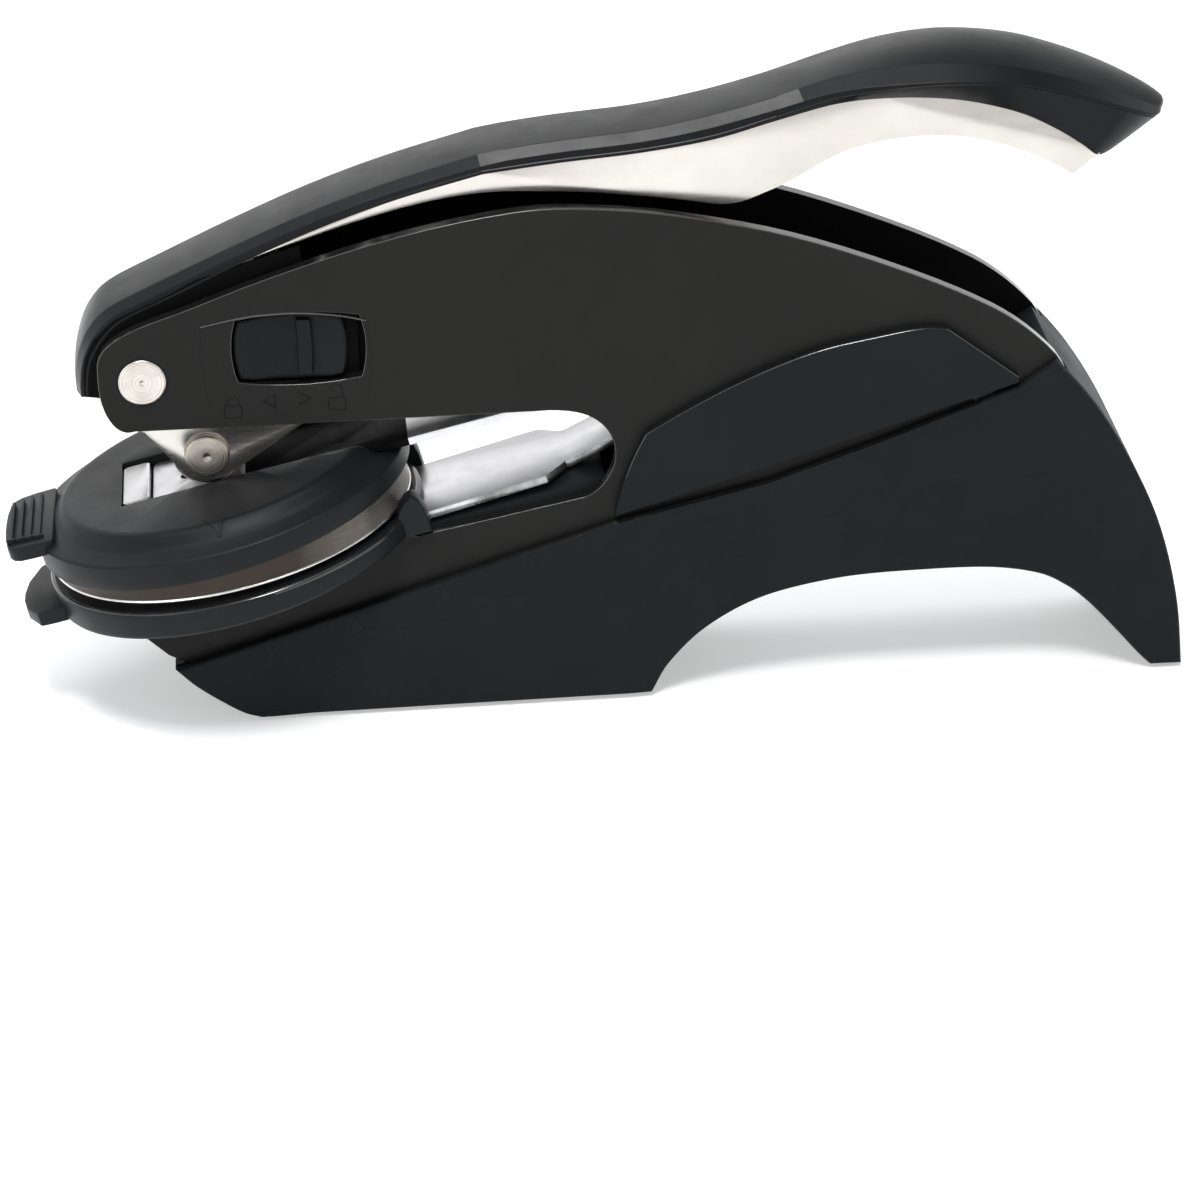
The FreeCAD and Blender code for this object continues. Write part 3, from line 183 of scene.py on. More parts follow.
def round_corner(a, b, c, r, steps=3):
    # Points of a rounded corner at b between a and c, in a plane, with one more
    # point on each side, which keeps the faces beside the corner flat.
    a, b, c = (np.array(p, float) for p in (a, b, c))
    to_a, to_c = np.linalg.norm(a - b), np.linalg.norm(c - b)
    u = (a - b) / max(to_a, 1e-9)
    w = (c - b) / max(to_c, 1e-9)
    reach = min(r, 0.45 * to_a, 0.45 * to_c)
    p, q = b + u * reach, b + w * reach
    out = [tuple(b + u * min(reach * 1.35, 0.47 * to_a))]
    for k in range(steps + 1):
        t = k / steps
        out.append(tuple((1 - t) ** 2 * p + 2 * t * (1 - t) * b + t * t * q))
    out.append(tuple(b + w * min(reach * 1.35, 0.47 * to_c)))
    return out


def smooth_path(points, per=6):
    # Catmull-Rom points through a run.
    p = [np.array(q, float) for q in points]
    p = [2 * p[0] - p[1]] + p + [2 * p[-1] - p[-2]]
    out = []
    for i in range(1, len(p) - 2):
        for k in range(per):
            t = k / per
            a, b, c, d = p[i - 1], p[i], p[i + 1], p[i + 2]
            out.append(0.5 * (
                (2 * b) + (c - a) * t + (2 * a - 5 * b + 4 * c - d) * t ** 2
                + (3 * b - a - 3 * c + d) * t ** 3))
    out.append(p[-2])
    return out


def die_matrix(opened):
    # Place of the insert: its lower half lies along the jaws, and its upper half
    # is opened about the joined tail of the two leaves.
    m = Matrix.Translation(Vector(DIE_CENTRE) * MM)
    m = m @ Matrix.Rotation(math.radians(-DIE_TILT), 4, "Y")
    if opened:
        root = Vector((TAIL_AT, 0, ROOT_H)) * MM
        m = m @ Matrix.Translation(root) @ Matrix.Rotation(math.radians(OPEN_ANGLE), 4, "Y")
        m = m @ Matrix.Translation(-root)
    return m


def in_die(obj, opened):
    # A piece built about the die's own centre goes to its place.
    obj.data.transform(die_matrix(opened))
    obj.data.update()
    return obj


def along_y(obj, x, z):
    # A piece turned about its own Z is laid with its axis along Y.
    m = Matrix.Translation(Vector((x, 0, z)) * MM) @ Matrix.Rotation(math.radians(90), 4, "X")
    obj.data.transform(m)
    return obj


def handle(share):
    # A point of the side view in shares of the handle, from the pivot.
    return np.array((PIVOT[0] + share[0] * HANDLE_LONG, PIVOT[1] + share[1] * HANDLE_RISE))


def frame_xz(share):
    # A point of the side view in shares of the frame.
    return (NOSE_X + share[0] * LONG, share[1] * HIGH)


# ---------------------------------------------------------------- materials
def empty_tree(owner):
    owner.use_nodes = True
    owner.node_tree.nodes.clear()
    return owner.node_tree


def start_material(name):
    # A material with one Principled shader, and the object's own coordinates.
    m = bpy.data.materials.new(name)
    nt = empty_tree(m)
    out = nt.nodes.new("ShaderNodeOutputMaterial")
    bsdf = nt.nodes.new("ShaderNodeBsdfPrincipled")
    nt.links.new(bsdf.outputs[0], out.inputs[0])
    coord = nt.nodes.new("ShaderNodeTexCoord").outputs["Object"]
    return m, nt, bsdf, coord


def noise(nt, coord, scale, detail=3.0, rough=0.55, stretch=None):
    if stretch:
        mp = nt.nodes.new("ShaderNodeMapping")
        mp.inputs["Scale"].default_value = stretch
        nt.links.new(coord, mp.inputs["Vector"])
        coord = mp.outputs[0]
    n = nt.nodes.new("ShaderNodeTexNoise")
    n.inputs["Scale"].default_value = scale
    n.inputs["Detail"].default_value = detail
    n.inputs["Roughness"].default_value = rough
    nt.links.new(coord, n.inputs["Vector"])
    return n.outputs[0]


def spread(nt, value, low, high, a, b):
    # The value's range from low to high becomes a to b.
    r = nt.nodes.new("ShaderNodeMapRange")
    r.inputs["From Min"].default_value = low
    r.inputs["From Max"].default_value = high
    r.inputs["To Min"].default_value = a
    r.inputs["To Max"].default_value = b
    nt.links.new(value, r.inputs["Value"])
    return r.outputs[0]


def blend_colour(nt, fac, a, b):
    x = nt.nodes.new("ShaderNodeMix")
    x.data_type = "RGBA"
    nt.links.new(fac, x.inputs[0])
    for socket, v in ((x.inputs[6], a), (x.inputs[7], b)):
        if isinstance(v, tuple):
            socket.default_value = (*v, 1.0)
        else:
            nt.links.new(v, socket)
    return x.outputs[2]


def add_bump(nt, bsdf, height, strength, distance, under=None):
    b = nt.nodes.new("ShaderNodeBump")
    b.inputs["Strength"].default_value = strength
    b.inputs["Distance"].default_value = distance * MM
    nt.links.new(height, b.inputs["Height"])
    if under is not None:
        nt.links.new(under, b.inputs["Normal"])
    nt.links.new(b.outputs[0], bsdf.inputs["Normal"])
    return b.outputs[0]


def cloudy(nt, coord, scale, detail, rough, dark, light):
    # A colour that drifts softly from dark to light.
    cloud = noise(nt, coord, scale, detail, rough)
    return blend_colour(nt, spread(nt, cloud, 0.3, 0.7, 0.0, 1.0), dark, light)


def moulding(name, dark, light, rough, grain=2400.0, grain_deep=0.02, level=0.3, waviness=0.03):
    # Moulded plastic, rubber or paint with a fine grain.
    m, nt, bsdf, co = start_material(name)
    nt.links.new(cloudy(nt, co, 55.0, 4.0, 0.6, dark, light), bsdf.inputs["Base Color"])
    r = noise(nt, co, 140.0, 5.0, 0.65)
    nt.links.new(spread(nt, r, 0.3, 0.7, rough - 0.05, rough + 0.06), bsdf.inputs["Roughness"])
    bsdf.inputs["Specular IOR Level"].default_value = level
    wave = add_bump(nt, bsdf, noise(nt, co, 45.0, 1.0, 0.5), 0.35, waviness)
    add_bump(nt, bsdf, noise(nt, co, grain, 2.0, 0.6), 0.5, grain_deep, wave)
    return m


def metal(name, dark, light, rough, brush=(900.0, 900.0, 60.0), deep=0.004,
          stains=0.0, stain=(0.35, 0.3, 0.22)):
    # Bare metal with fine streaks along its brushing, and faint stains.
    m, nt, bsdf, co = start_material(name)
    colour = cloudy(nt, co, 70.0, 5.0, 0.65, dark, light)
    if stains:
        blot = noise(nt, co, 160.0, 6.0, 0.7)
        colour = blend_colour(nt, spread(nt, blot, 0.62, 0.78, 0.0, stains), colour, stain)
    nt.links.new(colour, bsdf.inputs["Base Color"])
    bsdf.inputs["Metallic"].default_value = 1.0
    streak = noise(nt, co, 1.0, 3.0, 0.6, brush)
    gloss = spread(nt, streak, 0.3, 0.7, rough - 0.05, rough + 0.05)
    nt.links.new(gloss, bsdf.inputs["Roughness"])
    wave = add_bump(nt, bsdf, noise(nt, co, 60.0, 1.0, 0.5), 0.3, 0.02)
    add_bump(nt, bsdf, streak, 0.4, deep, wave)
    return m


def turned_metal(name, dark, light, rough, centre, pitch=0.22, deep=0.012):
    # Concentric tool marks about an axis along Y through the centre.
    m, nt, bsdf, co = start_material(name)
    sub = nt.nodes.new("ShaderNodeVectorMath")
    sub.operation = "SUBTRACT"
    sub.inputs[1].default_value = (centre[0] * MM, 0.0, centre[1] * MM)
    nt.links.new(co, sub.inputs[0])
    flat = nt.nodes.new("ShaderNodeVectorMath")
    flat.operation = "MULTIPLY"
    flat.inputs[1].default_value = (1.0, 0.0, 1.0)
    nt.links.new(sub.outputs[0], flat.inputs[0])
    ring = nt.nodes.new("ShaderNodeVectorMath")
    ring.operation = "LENGTH"
    nt.links.new(flat.outputs[0], ring.inputs[0])
    n = nt.nodes.new("ShaderNodeTexNoise")
    n.noise_dimensions = "1D"
    n.inputs["Scale"].default_value = 1.0 / (pitch * MM)
    n.inputs["Detail"].default_value = 3.0
    nt.links.new(ring.outputs["Value"], n.inputs["W"])
    mark = n.outputs[0]
    colour = cloudy(nt, co, 400.0, 4.0, 0.6, dark, light)
    fine = blend_colour(nt, spread(nt, mark, 0.35, 0.7, 0.0, 0.55), colour, (0.36, 0.33, 0.29))
    nt.links.new(fine, bsdf.inputs["Base Color"])
    bsdf.inputs["Metallic"].default_value = 1.0
    gloss = spread(nt, mark, 0.3, 0.7, rough - 0.08, rough + 0.1)
    nt.links.new(gloss, bsdf.inputs["Roughness"])
    add_bump(nt, bsdf, mark, 0.6, deep)
    return m


def drum_metal(name):
    # Bare turned band: fine lines round it, dark brown toward the front and light grey toward the
    # rear.
    m, nt, bsdf, co = start_material(name)
    sep = nt.nodes.new("ShaderNodeSeparateXYZ")
    nt.links.new(co, sep.inputs[0])
    along = spread(nt, sep.outputs[0], -0.047, -0.012, 0.0, 1.0)
    warm = blend_colour(nt, along, (0.030, 0.023, 0.016), (0.44, 0.42, 0.38))
    cloud = noise(nt, co, 260.0, 5.0, 0.65)
    tint = spread(nt, cloud, 0.35, 0.75, 0.0, 0.30)
    colour = blend_colour(nt, tint, warm, (0.030, 0.024, 0.018))
    nt.links.new(colour, bsdf.inputs["Base Color"])
    bsdf.inputs["Metallic"].default_value = 0.60
    lines = noise(nt, co, 1.0, 2.0, 0.5, (40.0, 40.0, 3800.0))
    nt.links.new(spread(nt, lines, 0.3, 0.7, 0.24, 0.36), bsdf.inputs["Roughness"])
    add_bump(nt, bsdf, lines, 0.5, 0.006)
    return m


PAINT = moulding(
    "plate_paint", (0.0115, 0.0117, 0.0108), (0.0138, 0.0140, 0.0129),
    rough=0.42, grain=1500.0, grain_deep=0.006, level=0.12, waviness=0.02)
EDGE = moulding(
    "edge_gloss", (0.0060, 0.0060, 0.0060), (0.0090, 0.0090, 0.0090),
    rough=0.16, grain=1500.0, grain_deep=0.004, level=1.0, waviness=0.01)
# Near-black colour for inside faces and dark hollows of the press: painted shade
SHADE_BLACK = moulding(
    "painted_shade_black", (0.0020, 0.0020, 0.0020), (0.0032, 0.0032, 0.0031),
    rough=0.60, grain=1500.0, grain_deep=0.004, level=0.06, waviness=0.02)
SHOE = moulding(
    "shoe_plastic", (0.0082, 0.0091, 0.0108), (0.0104, 0.0115, 0.0133),
    rough=0.48, grain=2600.0, grain_deep=0.018, level=0.10, waviness=0.03)
PANEL = moulding(
    "panel_plastic", (0.0076, 0.0083, 0.0096), (0.0098, 0.0107, 0.0120),
    rough=0.44, grain=2600.0, grain_deep=0.016, level=0.11, waviness=0.03)
COVER = moulding(
    "cover_plastic", (0.0046, 0.0050, 0.0060), (0.0062, 0.0068, 0.0080),
    rough=0.34, grain=2000.0, grain_deep=0.024, level=0.15, waviness=0.02)
# Grip grain whose lighter colour is painted sheen of light on the grain
COVER_GRIP_SHEEN = moulding(
    "cover_grip_painted_sheen", (0.0300, 0.0300, 0.0300), (0.1100, 0.1100, 0.1070),
    rough=0.75, grain=1100.0, grain_deep=0.20, level=0.40, waviness=0.02)
HOLDER = moulding(
    "holder_plastic", (0.0072, 0.0079, 0.0094), (0.0096, 0.0105, 0.0122),
    rough=0.40, grain=2600.0, grain_deep=0.016, level=0.16, waviness=0.03)
RUBBER = moulding(
    "pad_rubber", (0.010, 0.010, 0.010), (0.014, 0.014, 0.014),
    rough=0.80, grain=1400.0, grain_deep=0.03, level=0.2)
WASHER = moulding(
    "washer_plastic", (0.60, 0.58, 0.53), (0.70, 0.68, 0.62),
    rough=0.50, grain=1800.0, grain_deep=0.01, level=0.4)
COUNTER = moulding(
    "counter_plastic", (0.62, 0.60, 0.55), (0.72, 0.70, 0.65),
    rough=0.55, grain=1800.0, grain_deep=0.01, level=0.4)
# Near-black colour for marks, grooves and gaps: painted shade of the hollows
GROOVE_SHADE = moulding(
    "painted_groove_shade", (0.0025, 0.0028, 0.0032), (0.0040, 0.0044, 0.0050),
    rough=0.60, grain=2600.0, grain_deep=0.01, level=0.2)
NICKEL = metal(
    "lever_nickel", (0.54, 0.515, 0.48), (0.63, 0.605, 0.57),
    rough=0.20, brush=(60.0, 900.0, 900.0), deep=0.004, stains=0.25, stain=(0.62, 0.52, 0.38))
LEAF = metal(
    "leaf_steel", (0.60, 0.60, 0.61), (0.66, 0.66, 0.67),
    rough=0.34, brush=(400.0, 400.0, 400.0), deep=0.002, stains=0.35, stain=(0.42, 0.42, 0.43))
# Steel painted near black to bright in patches: painted shade and painted reflection
LEAF_EDGE_SHADE_AND_GLINT = metal(
    "leaf_edge_painted_shade_and_glint", (0.02, 0.02, 0.02), (0.75, 0.75, 0.75),
    rough=0.30, brush=(900.0, 900.0, 900.0), deep=0.02)
STEEL = metal("bar_steel", (0.42, 0.41, 0.39), (0.56, 0.55, 0.53), rough=0.33)
DARK = metal("dark_steel", (0.10, 0.10, 0.10), (0.16, 0.16, 0.155), rough=0.38)
BRASS = metal(
    "die_brass", (0.55, 0.40, 0.16), (0.68, 0.51, 0.22),
    rough=0.30, brush=(900.0, 60.0, 900.0))
PIVOT_STEEL = turned_metal(
    "pivot_steel", (0.56, 0.53, 0.49), (0.74, 0.70, 0.66),
    rough=0.34, centre=PIVOT)
PIN_STEEL = turned_metal(
    "roller_pin_steel", (0.30, 0.275, 0.24), (0.44, 0.41, 0.37),
    rough=0.32, centre=ROLLER, pitch=0.2)
DRUM = drum_metal("drum_metal")
LEDGE = metal(
    "drum_ledge", (0.45, 0.44, 0.42), (0.95, 0.95, 0.93),
    rough=0.24, brush=(1400.0, 1400.0, 1400.0), deep=0.03)


def give(obj, material, body):
    # One material over the piece, and the body it rides on.
    obj.data.materials.clear()
    obj.data.materials.append(material)
    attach(obj, body)
    return obj


def paint_node(name, material):
    # A solid that is kept as it is gets a material.
    obj = nodes[name]
    if not obj.material_slots:
        obj.data.materials.append(material)
    for s in obj.material_slots:
        s.material = material


# The lock bolt is painted near black as painted shade inside the lock window
for name, material in (
    ("frame_spacers", STEEL), ("frame_rivets", DARK), ("jaw_screws", DARK), ("foot_pads", RUBBER),
    ("base_screws", DARK), ("pivot_washers", WASHER), ("tail_stop", STEEL),
    ("spring_anchor", STEEL), ("return_spring", DARK), ("handle_screws", DARK),
    ("lock_bolt", SHADE_BLACK), ("counter_die", COUNTER), ("lower_leaf_rivets", DARK),
    ("tail_rivets", DARK), ("engraved_die", BRASS), ("upper_leaf_screws", SHADE_BLACK),
):
    paint_node(name, material)


# ---------------------------------------------------------------- frame
def faces_of(obj, material, test):
    # Gives the faces that pass the test a material of their own.
    index = len(obj.data.materials)
    obj.data.materials.append(material)
    for f in obj.data.polygons:
        if test(f.center, f.normal):
            f.material_index = index


for side, name in ((-1, "side_plate_near"), (1, "side_plate_far")):
    plate = give(dressed(name, 0.40, 3), PAINT, "frame")
    # The punched edge is glossier than the faces, and the inner face is painted near black as
    # painted shade
    faces_of(plate, EDGE, lambda c, n: abs(n.y) < 0.97)
    faces_of(plate, SHADE_BLACK, lambda c, n: n.y * side < -0.9)
    flat_faces(plate)
give(dressed("jaw_block", 0.3), PANEL, "frame")
for name in ("side_panel_near", "side_panel_far"):
    panel = give(dressed(name, 0.35, 3), PANEL, "frame")
    faces_of(panel, EDGE, lambda c, n: 0.25 < abs(n.y) < 0.93 and n.z > 0.25)
    flat_faces(panel)

# Outlines of the base in shares of the frame: rim, rear spine, arch and toe
rim_share = [
    (0.0520, 0.1179), (0.4636, 0.3710), (0.6099, 0.4373), (0.7174, 0.5111),
    (0.8435, 0.6044), (0.8775, 0.6511)]
rear_share = [
    (0.8775, 0.6511), (0.8996, 0.5995), (0.9182, 0.5479), (0.9379, 0.4816), (0.9540, 0.4165),
    (0.9707, 0.3378), (0.9827, 0.2617), (0.9916, 0.1818), (0.9970, 0.1057), (1.0000, 0.0074)]
arch_share = [
    (0.4964, 0.0074), (0.5143, 0.0676), (0.5502, 0.1376), (0.6039, 0.1941), (0.6756, 0.2236),
    (0.7473, 0.2322), (0.8160, 0.2297), (0.8632, 0.2113), (0.8895, 0.1830), (0.9062, 0.1548),
    (0.9211, 0.1229), (0.9403, 0.0774), (0.9600, 0.0295), (0.9707, 0.0074)]
toe_share = [(0.0520, 0.1179), (0.0735, 0.0749), (0.1093, 0.0233), (0.1290, 0.0074)]


def run_xz(shares, smooth=True):
    # An outline in millimetres.
    pts = [frame_xz(s) for s in shares]
    if smooth:
        pts = [tuple(p) for p in smooth_path(pts, 8)]
    return np.array(pts)


# Half width of the base at the floor, and how much it loses over the full height
BASE_HALF, BASE_DRAFT = 15.2, 1.2


def side_y(z):
    # Half width of the drafted base at a height.
    return BASE_HALF - BASE_DRAFT * z / HIGH


def crease_depth(x, z, line, deep, soft):
    # Depth under a crease line, with a soft step across it.
    d = np.interp(x, line[:, 0], line[:, 1]) - z
    inside = (x > line[0, 0]) & (x < line[-1, 0])
    t = np.clip(d / soft, 0.0, 1.0)
    ends = np.clip((x - line[0, 0]) / 6.0, 0, 1) * np.clip((line[-1, 0] - x) / 14.0, 0, 1)
    return np.where(inside, deep * (t * t * (3 - 2 * t)) * ends, 0.0)


# Lowest height of the side walls, above the pads, and the radius along their border
WALL_LOW, WALL_ROUND = 0.6, 0.7
# The side walls start just outside the plates, where the core of the base ends
SKIN_IN, CORE_OUT = PLATE_OUT + 0.15, PLATE_OUT + 0.14
# Lip along the rim: its width, the step on it and the groove behind it
LIP_WIDE, LIP_STEP, LIP_DEEP = 0.75, 0.35, 2.6
REAR_X = frame_xz((0.8775, 0))[0]
CREASE_DEEP = 0.45
low_crease = np.array([
    (-51.3, 3.6), (-40.8, 8.5), (-31.2, 13.5), (-21.7, 17.2), (-6.7, 22), (0.3, 24.3), (9.8, 27.8),
    (19.2, 31.2), (38, 37.1), (52, 41.0)]) - (0.3, 0)
high_crease = np.array([
    (4.4, 9.7), (6.1, 17.1), (12.4, 20.1), (25.1, 26.1), (31.4, 28.6), (43.9, 32.5), (53.3, 34.8),
    (62.6, 36.4), (72.9, 31.3), (77.3, 23.7), (81.4, 15.7), (83.6, 10.1)])


def border_distance(points, loop):
    # Distance of each point to the nearest stretch of a closed outline.
    dist = np.full(len(points), 1e9)
    for a, e in zip(loop, np.roll(loop, -1, 0) - loop):
        ll = e @ e
        if ll < 1e-9:
            continue
        t = np.clip(((points - a) @ e) / ll, 0, 1)
        dist = np.minimum(dist, np.linalg.norm(points - (a + t[:, None] * e), axis=1))
    return dist


def base_skin(side):
    # One side wall of the base: a grid between its lower and upper outlines,
    # rounded along the border and stepped in below two crease lines.
    low = np.vstack([run_xz(toe_share), run_xz(arch_share), [frame_xz((1.0, 0.0074))]])
    high = np.vstack([run_xz(rim_share, False), run_xz(rear_share)])
    high = high[np.concatenate([[True], np.diff(high[:, 0]) > 1e-6])]
    x0, x1 = high[0, 0], high[-1, 0]
    xs = set(np.linspace(x0, x1, 230).tolist()) | set(high[:, 0].tolist()) | set(low[:, 0].tolist())
    xs |= set(np.linspace(x1 - 6, x1, 40).tolist()) | set(np.linspace(x0, x0 + 3, 12).tolist())
    xs = np.array(sorted(v for v in xs if x0 <= v <= x1))
    xs = xs[np.concatenate([[True], np.diff(xs) > 0.02])]
    zl = np.maximum(np.interp(xs, low[:, 0], low[:, 1]), WALL_LOW)
    zh = np.maximum(np.interp(xs, high[:, 0], high[:, 1]), WALL_LOW)
    zl = np.minimum(zl, zh)
    loop = np.vstack([np.column_stack([xs, zl]), np.column_stack([xs, zh])[::-1]])
    edge = np.array([0.0, 0.012, 0.03, 0.06, 0.1])
    vs = np.concatenate([edge, np.linspace(0.14, 0.86, 26), 1 - edge[::-1]])
    grid = np.array([np.column_stack([xs, zl + (zh - zl) * v]) for v in vs])
    flat = grid.reshape(-1, 2)
    r = WALL_ROUND
    q = np.clip(r - border_distance(flat, loop), 0, r)
    depth = r - np.sqrt(np.maximum(r * r - q * q, 0))
    depth += crease_depth(flat[:, 0], flat[:, 1], low_crease, CREASE_DEEP, 0.8)
    depth += crease_depth(flat[:, 0], flat[:, 1], high_crease, CREASE_DEEP, 1.0)
    y = side * (side_y(flat[:, 1]) - depth)
    verts = [(p[0], yy, p[1]) for p, yy in zip(flat, y)]
    nv, nx = len(vs), len(xs)
    faces = grid_faces(nv, nx)
    # The lower edge runs in to the core, and the rim has a lip with a groove behind it
    start = len(verts)
    verts += [(x, side * SKIN_IN, z) for x, z in zip(xs, zl)]
    faces += [(i, i + 1, start + i + 1, start + i) for i in range(nx - 1)]
    rows = [(nv - 1) * nx]
    for step in range(4):
        rows.append(len(verts))
        for x, bottom, top in zip(xs, zl, zh):
            outer = side_y(top) - r
            drop = min(LIP_DEEP, max(top - bottom - 0.3, 0.0)) if x < REAR_X else 0.0
            fall = LIP_STEP if drop else 0.0
            yy = (outer - LIP_STEP, outer - LIP_WIDE, outer - LIP_WIDE, SKIN_IN)[step]
            zz = (top, top - fall, top - drop, top - drop)[step]
            verts.append((x, side * yy, zz))
    for a, b in zip(rows, rows[1:]):
        faces += [(a + i, a + i + 1, b + i + 1, b + i) for i in range(nx - 1)]
    return mesh_object("base_skin_near" if side < 0 else "base_skin_far", verts, faces, 30.0)


def base_core():
    # The solid of the base without its side walls.
    me = nodes["base_shoe"].data.copy()
    bm = bmesh.new()
    bm.from_mesh(me)
    bmesh.ops.remove_doubles(bm, verts=bm.verts[:], dist=WELD)
    for side in (-1, 1):
        geom = bm.verts[:] + bm.edges[:] + bm.faces[:]
        bmesh.ops.bisect_plane(
            bm, geom=geom, plane_co=(0, side * CORE_OUT * MM, 0), plane_no=(0, side, 0),
            clear_outer=True)
    bm.to_mesh(me)
    bm.free()
    return tidy(link(bpy.data.objects.new("base_core", me)))


base = base_core()
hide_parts("base_shoe")
give(base, SHOE, "frame")


def on_rim(c, n):
    # The upper edge of the base under the panel is worn to a gloss.
    outside = abs(c.y) > (PLATE_OUT + 0.9) * MM
    return n.z > 0.45 and outside and -0.012 < c.x < 0.060 and c.z > 0.015


for side in (-1, 1):
    faces_of(give(base_skin(side), SHOE, "frame"), EDGE, on_rim)


# Four small triangles stand in a row on the near side of the base, drawn in near-black painted
# shade
MARK_ROOT, MARK_HIGH = 0.3, 0.38
for k, (x, z) in enumerate([(-51.7, 11.5), (-38.1, 15.6), (-24.2, 20.0), (-10.5, 24.1)]):
    corners = [(x - 0.9, z - 1.35), (x + 1.1, z - 0.9), (x - 0.25, z + 1.6)]
    y = MARK_ROOT - side_y(z)
    rings = [[(a, depth, b) for a, b in corners] for depth in (y, y - MARK_HIGH)]
    give(loft("base_mark_%d" % (k + 1), rings), GROOVE_SHADE, "frame")


# ---------------------------------------------------------------- lever and cover
give(dressed("lever_channel", 0.18, 2), NICKEL, "lever")
give(dressed("press_roller", 0.2, 2), STEEL, "roller")

# Top of the lever's web, in shares of the handle
web_top = np.array([handle(s) for s in [
    (-0.0495, -0.0428), (-0.0488, 0.0315), (-0.0432, 0.1059), (-0.0288, 0.1869), (0.0025, 0.2523),
    (0.0332, 0.2973), (0.0902, 0.3919), (0.1271, 0.4527), (0.1816, 0.5248), (0.2743, 0.6306),
    (0.3287, 0.6779), (0.4064, 0.7072), (0.4822, 0.7275), (0.5579, 0.7680), (0.6343, 0.8356),
    (0.6725, 0.8716), (0.7107, 0.8896), (0.7539, 0.8896), (0.7915, 0.8671), (0.8416, 0.8086),
    (0.8854, 0.7185), (0.9230, 0.6126)]])

# Rows of the cover: outer and inner point, swell of the width toward the grip,
# height of the widest line, then width and height of the shoulder and of the
# crease. Widths are shares of the half width, and heights of the way out.
front_rows = [(*run, 0.0, wide, 0.99, at, 0.68, 0.88) for *run, wide, at in (
    (-0.0657, -0.0721, -0.0526, -0.0721, 0.12, 0.50),
    (-0.0657, -0.0135, -0.0520, -0.0248, 0.12, 0.50),
    (-0.0614, 0.0721, -0.0480, 0.0520, 0.12, 0.50),
    (-0.0501, 0.1599, -0.0344, 0.1329, 0.12, 0.50),
    (-0.0301, 0.2297, -0.0131, 0.2005, 0.12, 0.50),
    (0.0157, 0.3086, 0.0332, 0.2748, 0.12, 0.52),
    (0.0914, 0.4279, 0.1060, 0.3940, 0.12, 0.52),
    (0.1666, 0.5383, 0.1790, 0.4990, 0.13, 0.52),
    (0.2417, 0.6284, 0.2500, 0.5830, 0.14, 0.52),
    (0.3287, 0.7140, 0.3330, 0.6585, 0.16, 0.52),
)]
rear_rows = [
    (0.3287, 0.7140, 0.3330, 0.6585, 0.0, 0.16, 0.97, 0.62, 0.66, 0.90),
    (0.4039, 0.7455, 0.4064, 0.6847, 0.0, 0.16, 0.97, 0.62, 0.66, 0.90),
    (0.4840, 0.7680, 0.4822, 0.7050, 0.0, 0.16, 0.97, 0.62, 0.66, 0.90),
    (0.5441, 0.8041, 0.5520, 0.7390, 0.0, 0.17, 0.97, 0.62, 0.66, 0.90),
    (0.6043, 0.8536, 0.6140, 0.7960, 0.02, 0.20, 0.97, 0.60, 0.66, 0.90),
    (0.6650, 0.9234, 0.6725, 0.8446, 0.20, 0.28, 0.975, 0.54, 0.66, 0.87),
    (0.7251, 0.9775, 0.7289, 0.8536, 0.68, 0.36, 0.98, 0.48, 0.70, 0.82),
    (0.7850, 0.9990, 0.7890, 0.8333, 0.98, 0.45, 0.985, 0.52, 0.75, 0.79),
    (0.8453, 0.9770, 0.8430, 0.7800, 1.00, 0.56, 0.99, 0.62, 0.76, 0.80),
    (0.8954, 0.9260, 0.8800, 0.7130, 0.80, 0.62, 0.99, 0.67, 0.74, 0.82),
    (0.9400, 0.8600, 0.9060, 0.6500, 0.36, 0.67, 0.985, 0.72, 0.70, 0.84),
    (0.9720, 0.7980, 0.9200, 0.6080, -0.25, 0.72, 0.98, 0.77, 0.64, 0.86),
    (0.9900, 0.7520, 0.9330, 0.5980, -1.00, 0.75, 0.97, 0.80, 0.58, 0.88),
    (0.9935, 0.7290, 0.9520, 0.6190, -1.75, 0.78, 0.97, 0.83, 0.55, 0.90),
]


# Half width of the cover beside the lever, at its widest in the grip and inside,
# its least wall, and the bead along its widest line
COVER_SLIM, COVER_WIDE, COVER_INSIDE, COVER_WALL, BEAD = 9.35, 12.5, 8.62, 0.6, 0.16
ROOF_LEAST = 0.02


def web_roof(inner, reach):
    # Share of the way out at which it has just passed the top of the web.
    for a, b in zip(web_top, web_top[1:]):
        m = np.array([[reach[0], a[0] - b[0]], [reach[1], a[1] - b[1]]])
        if abs(np.linalg.det(m)) < 1e-9:
            continue
        t, u = np.linalg.solve(m, a - inner)
        if 0 <= u <= 1 and 0 < t < 0.9:
            return max(t + 0.15 / np.linalg.norm(reach), ROOF_LEAST)
    return ROOF_LEAST


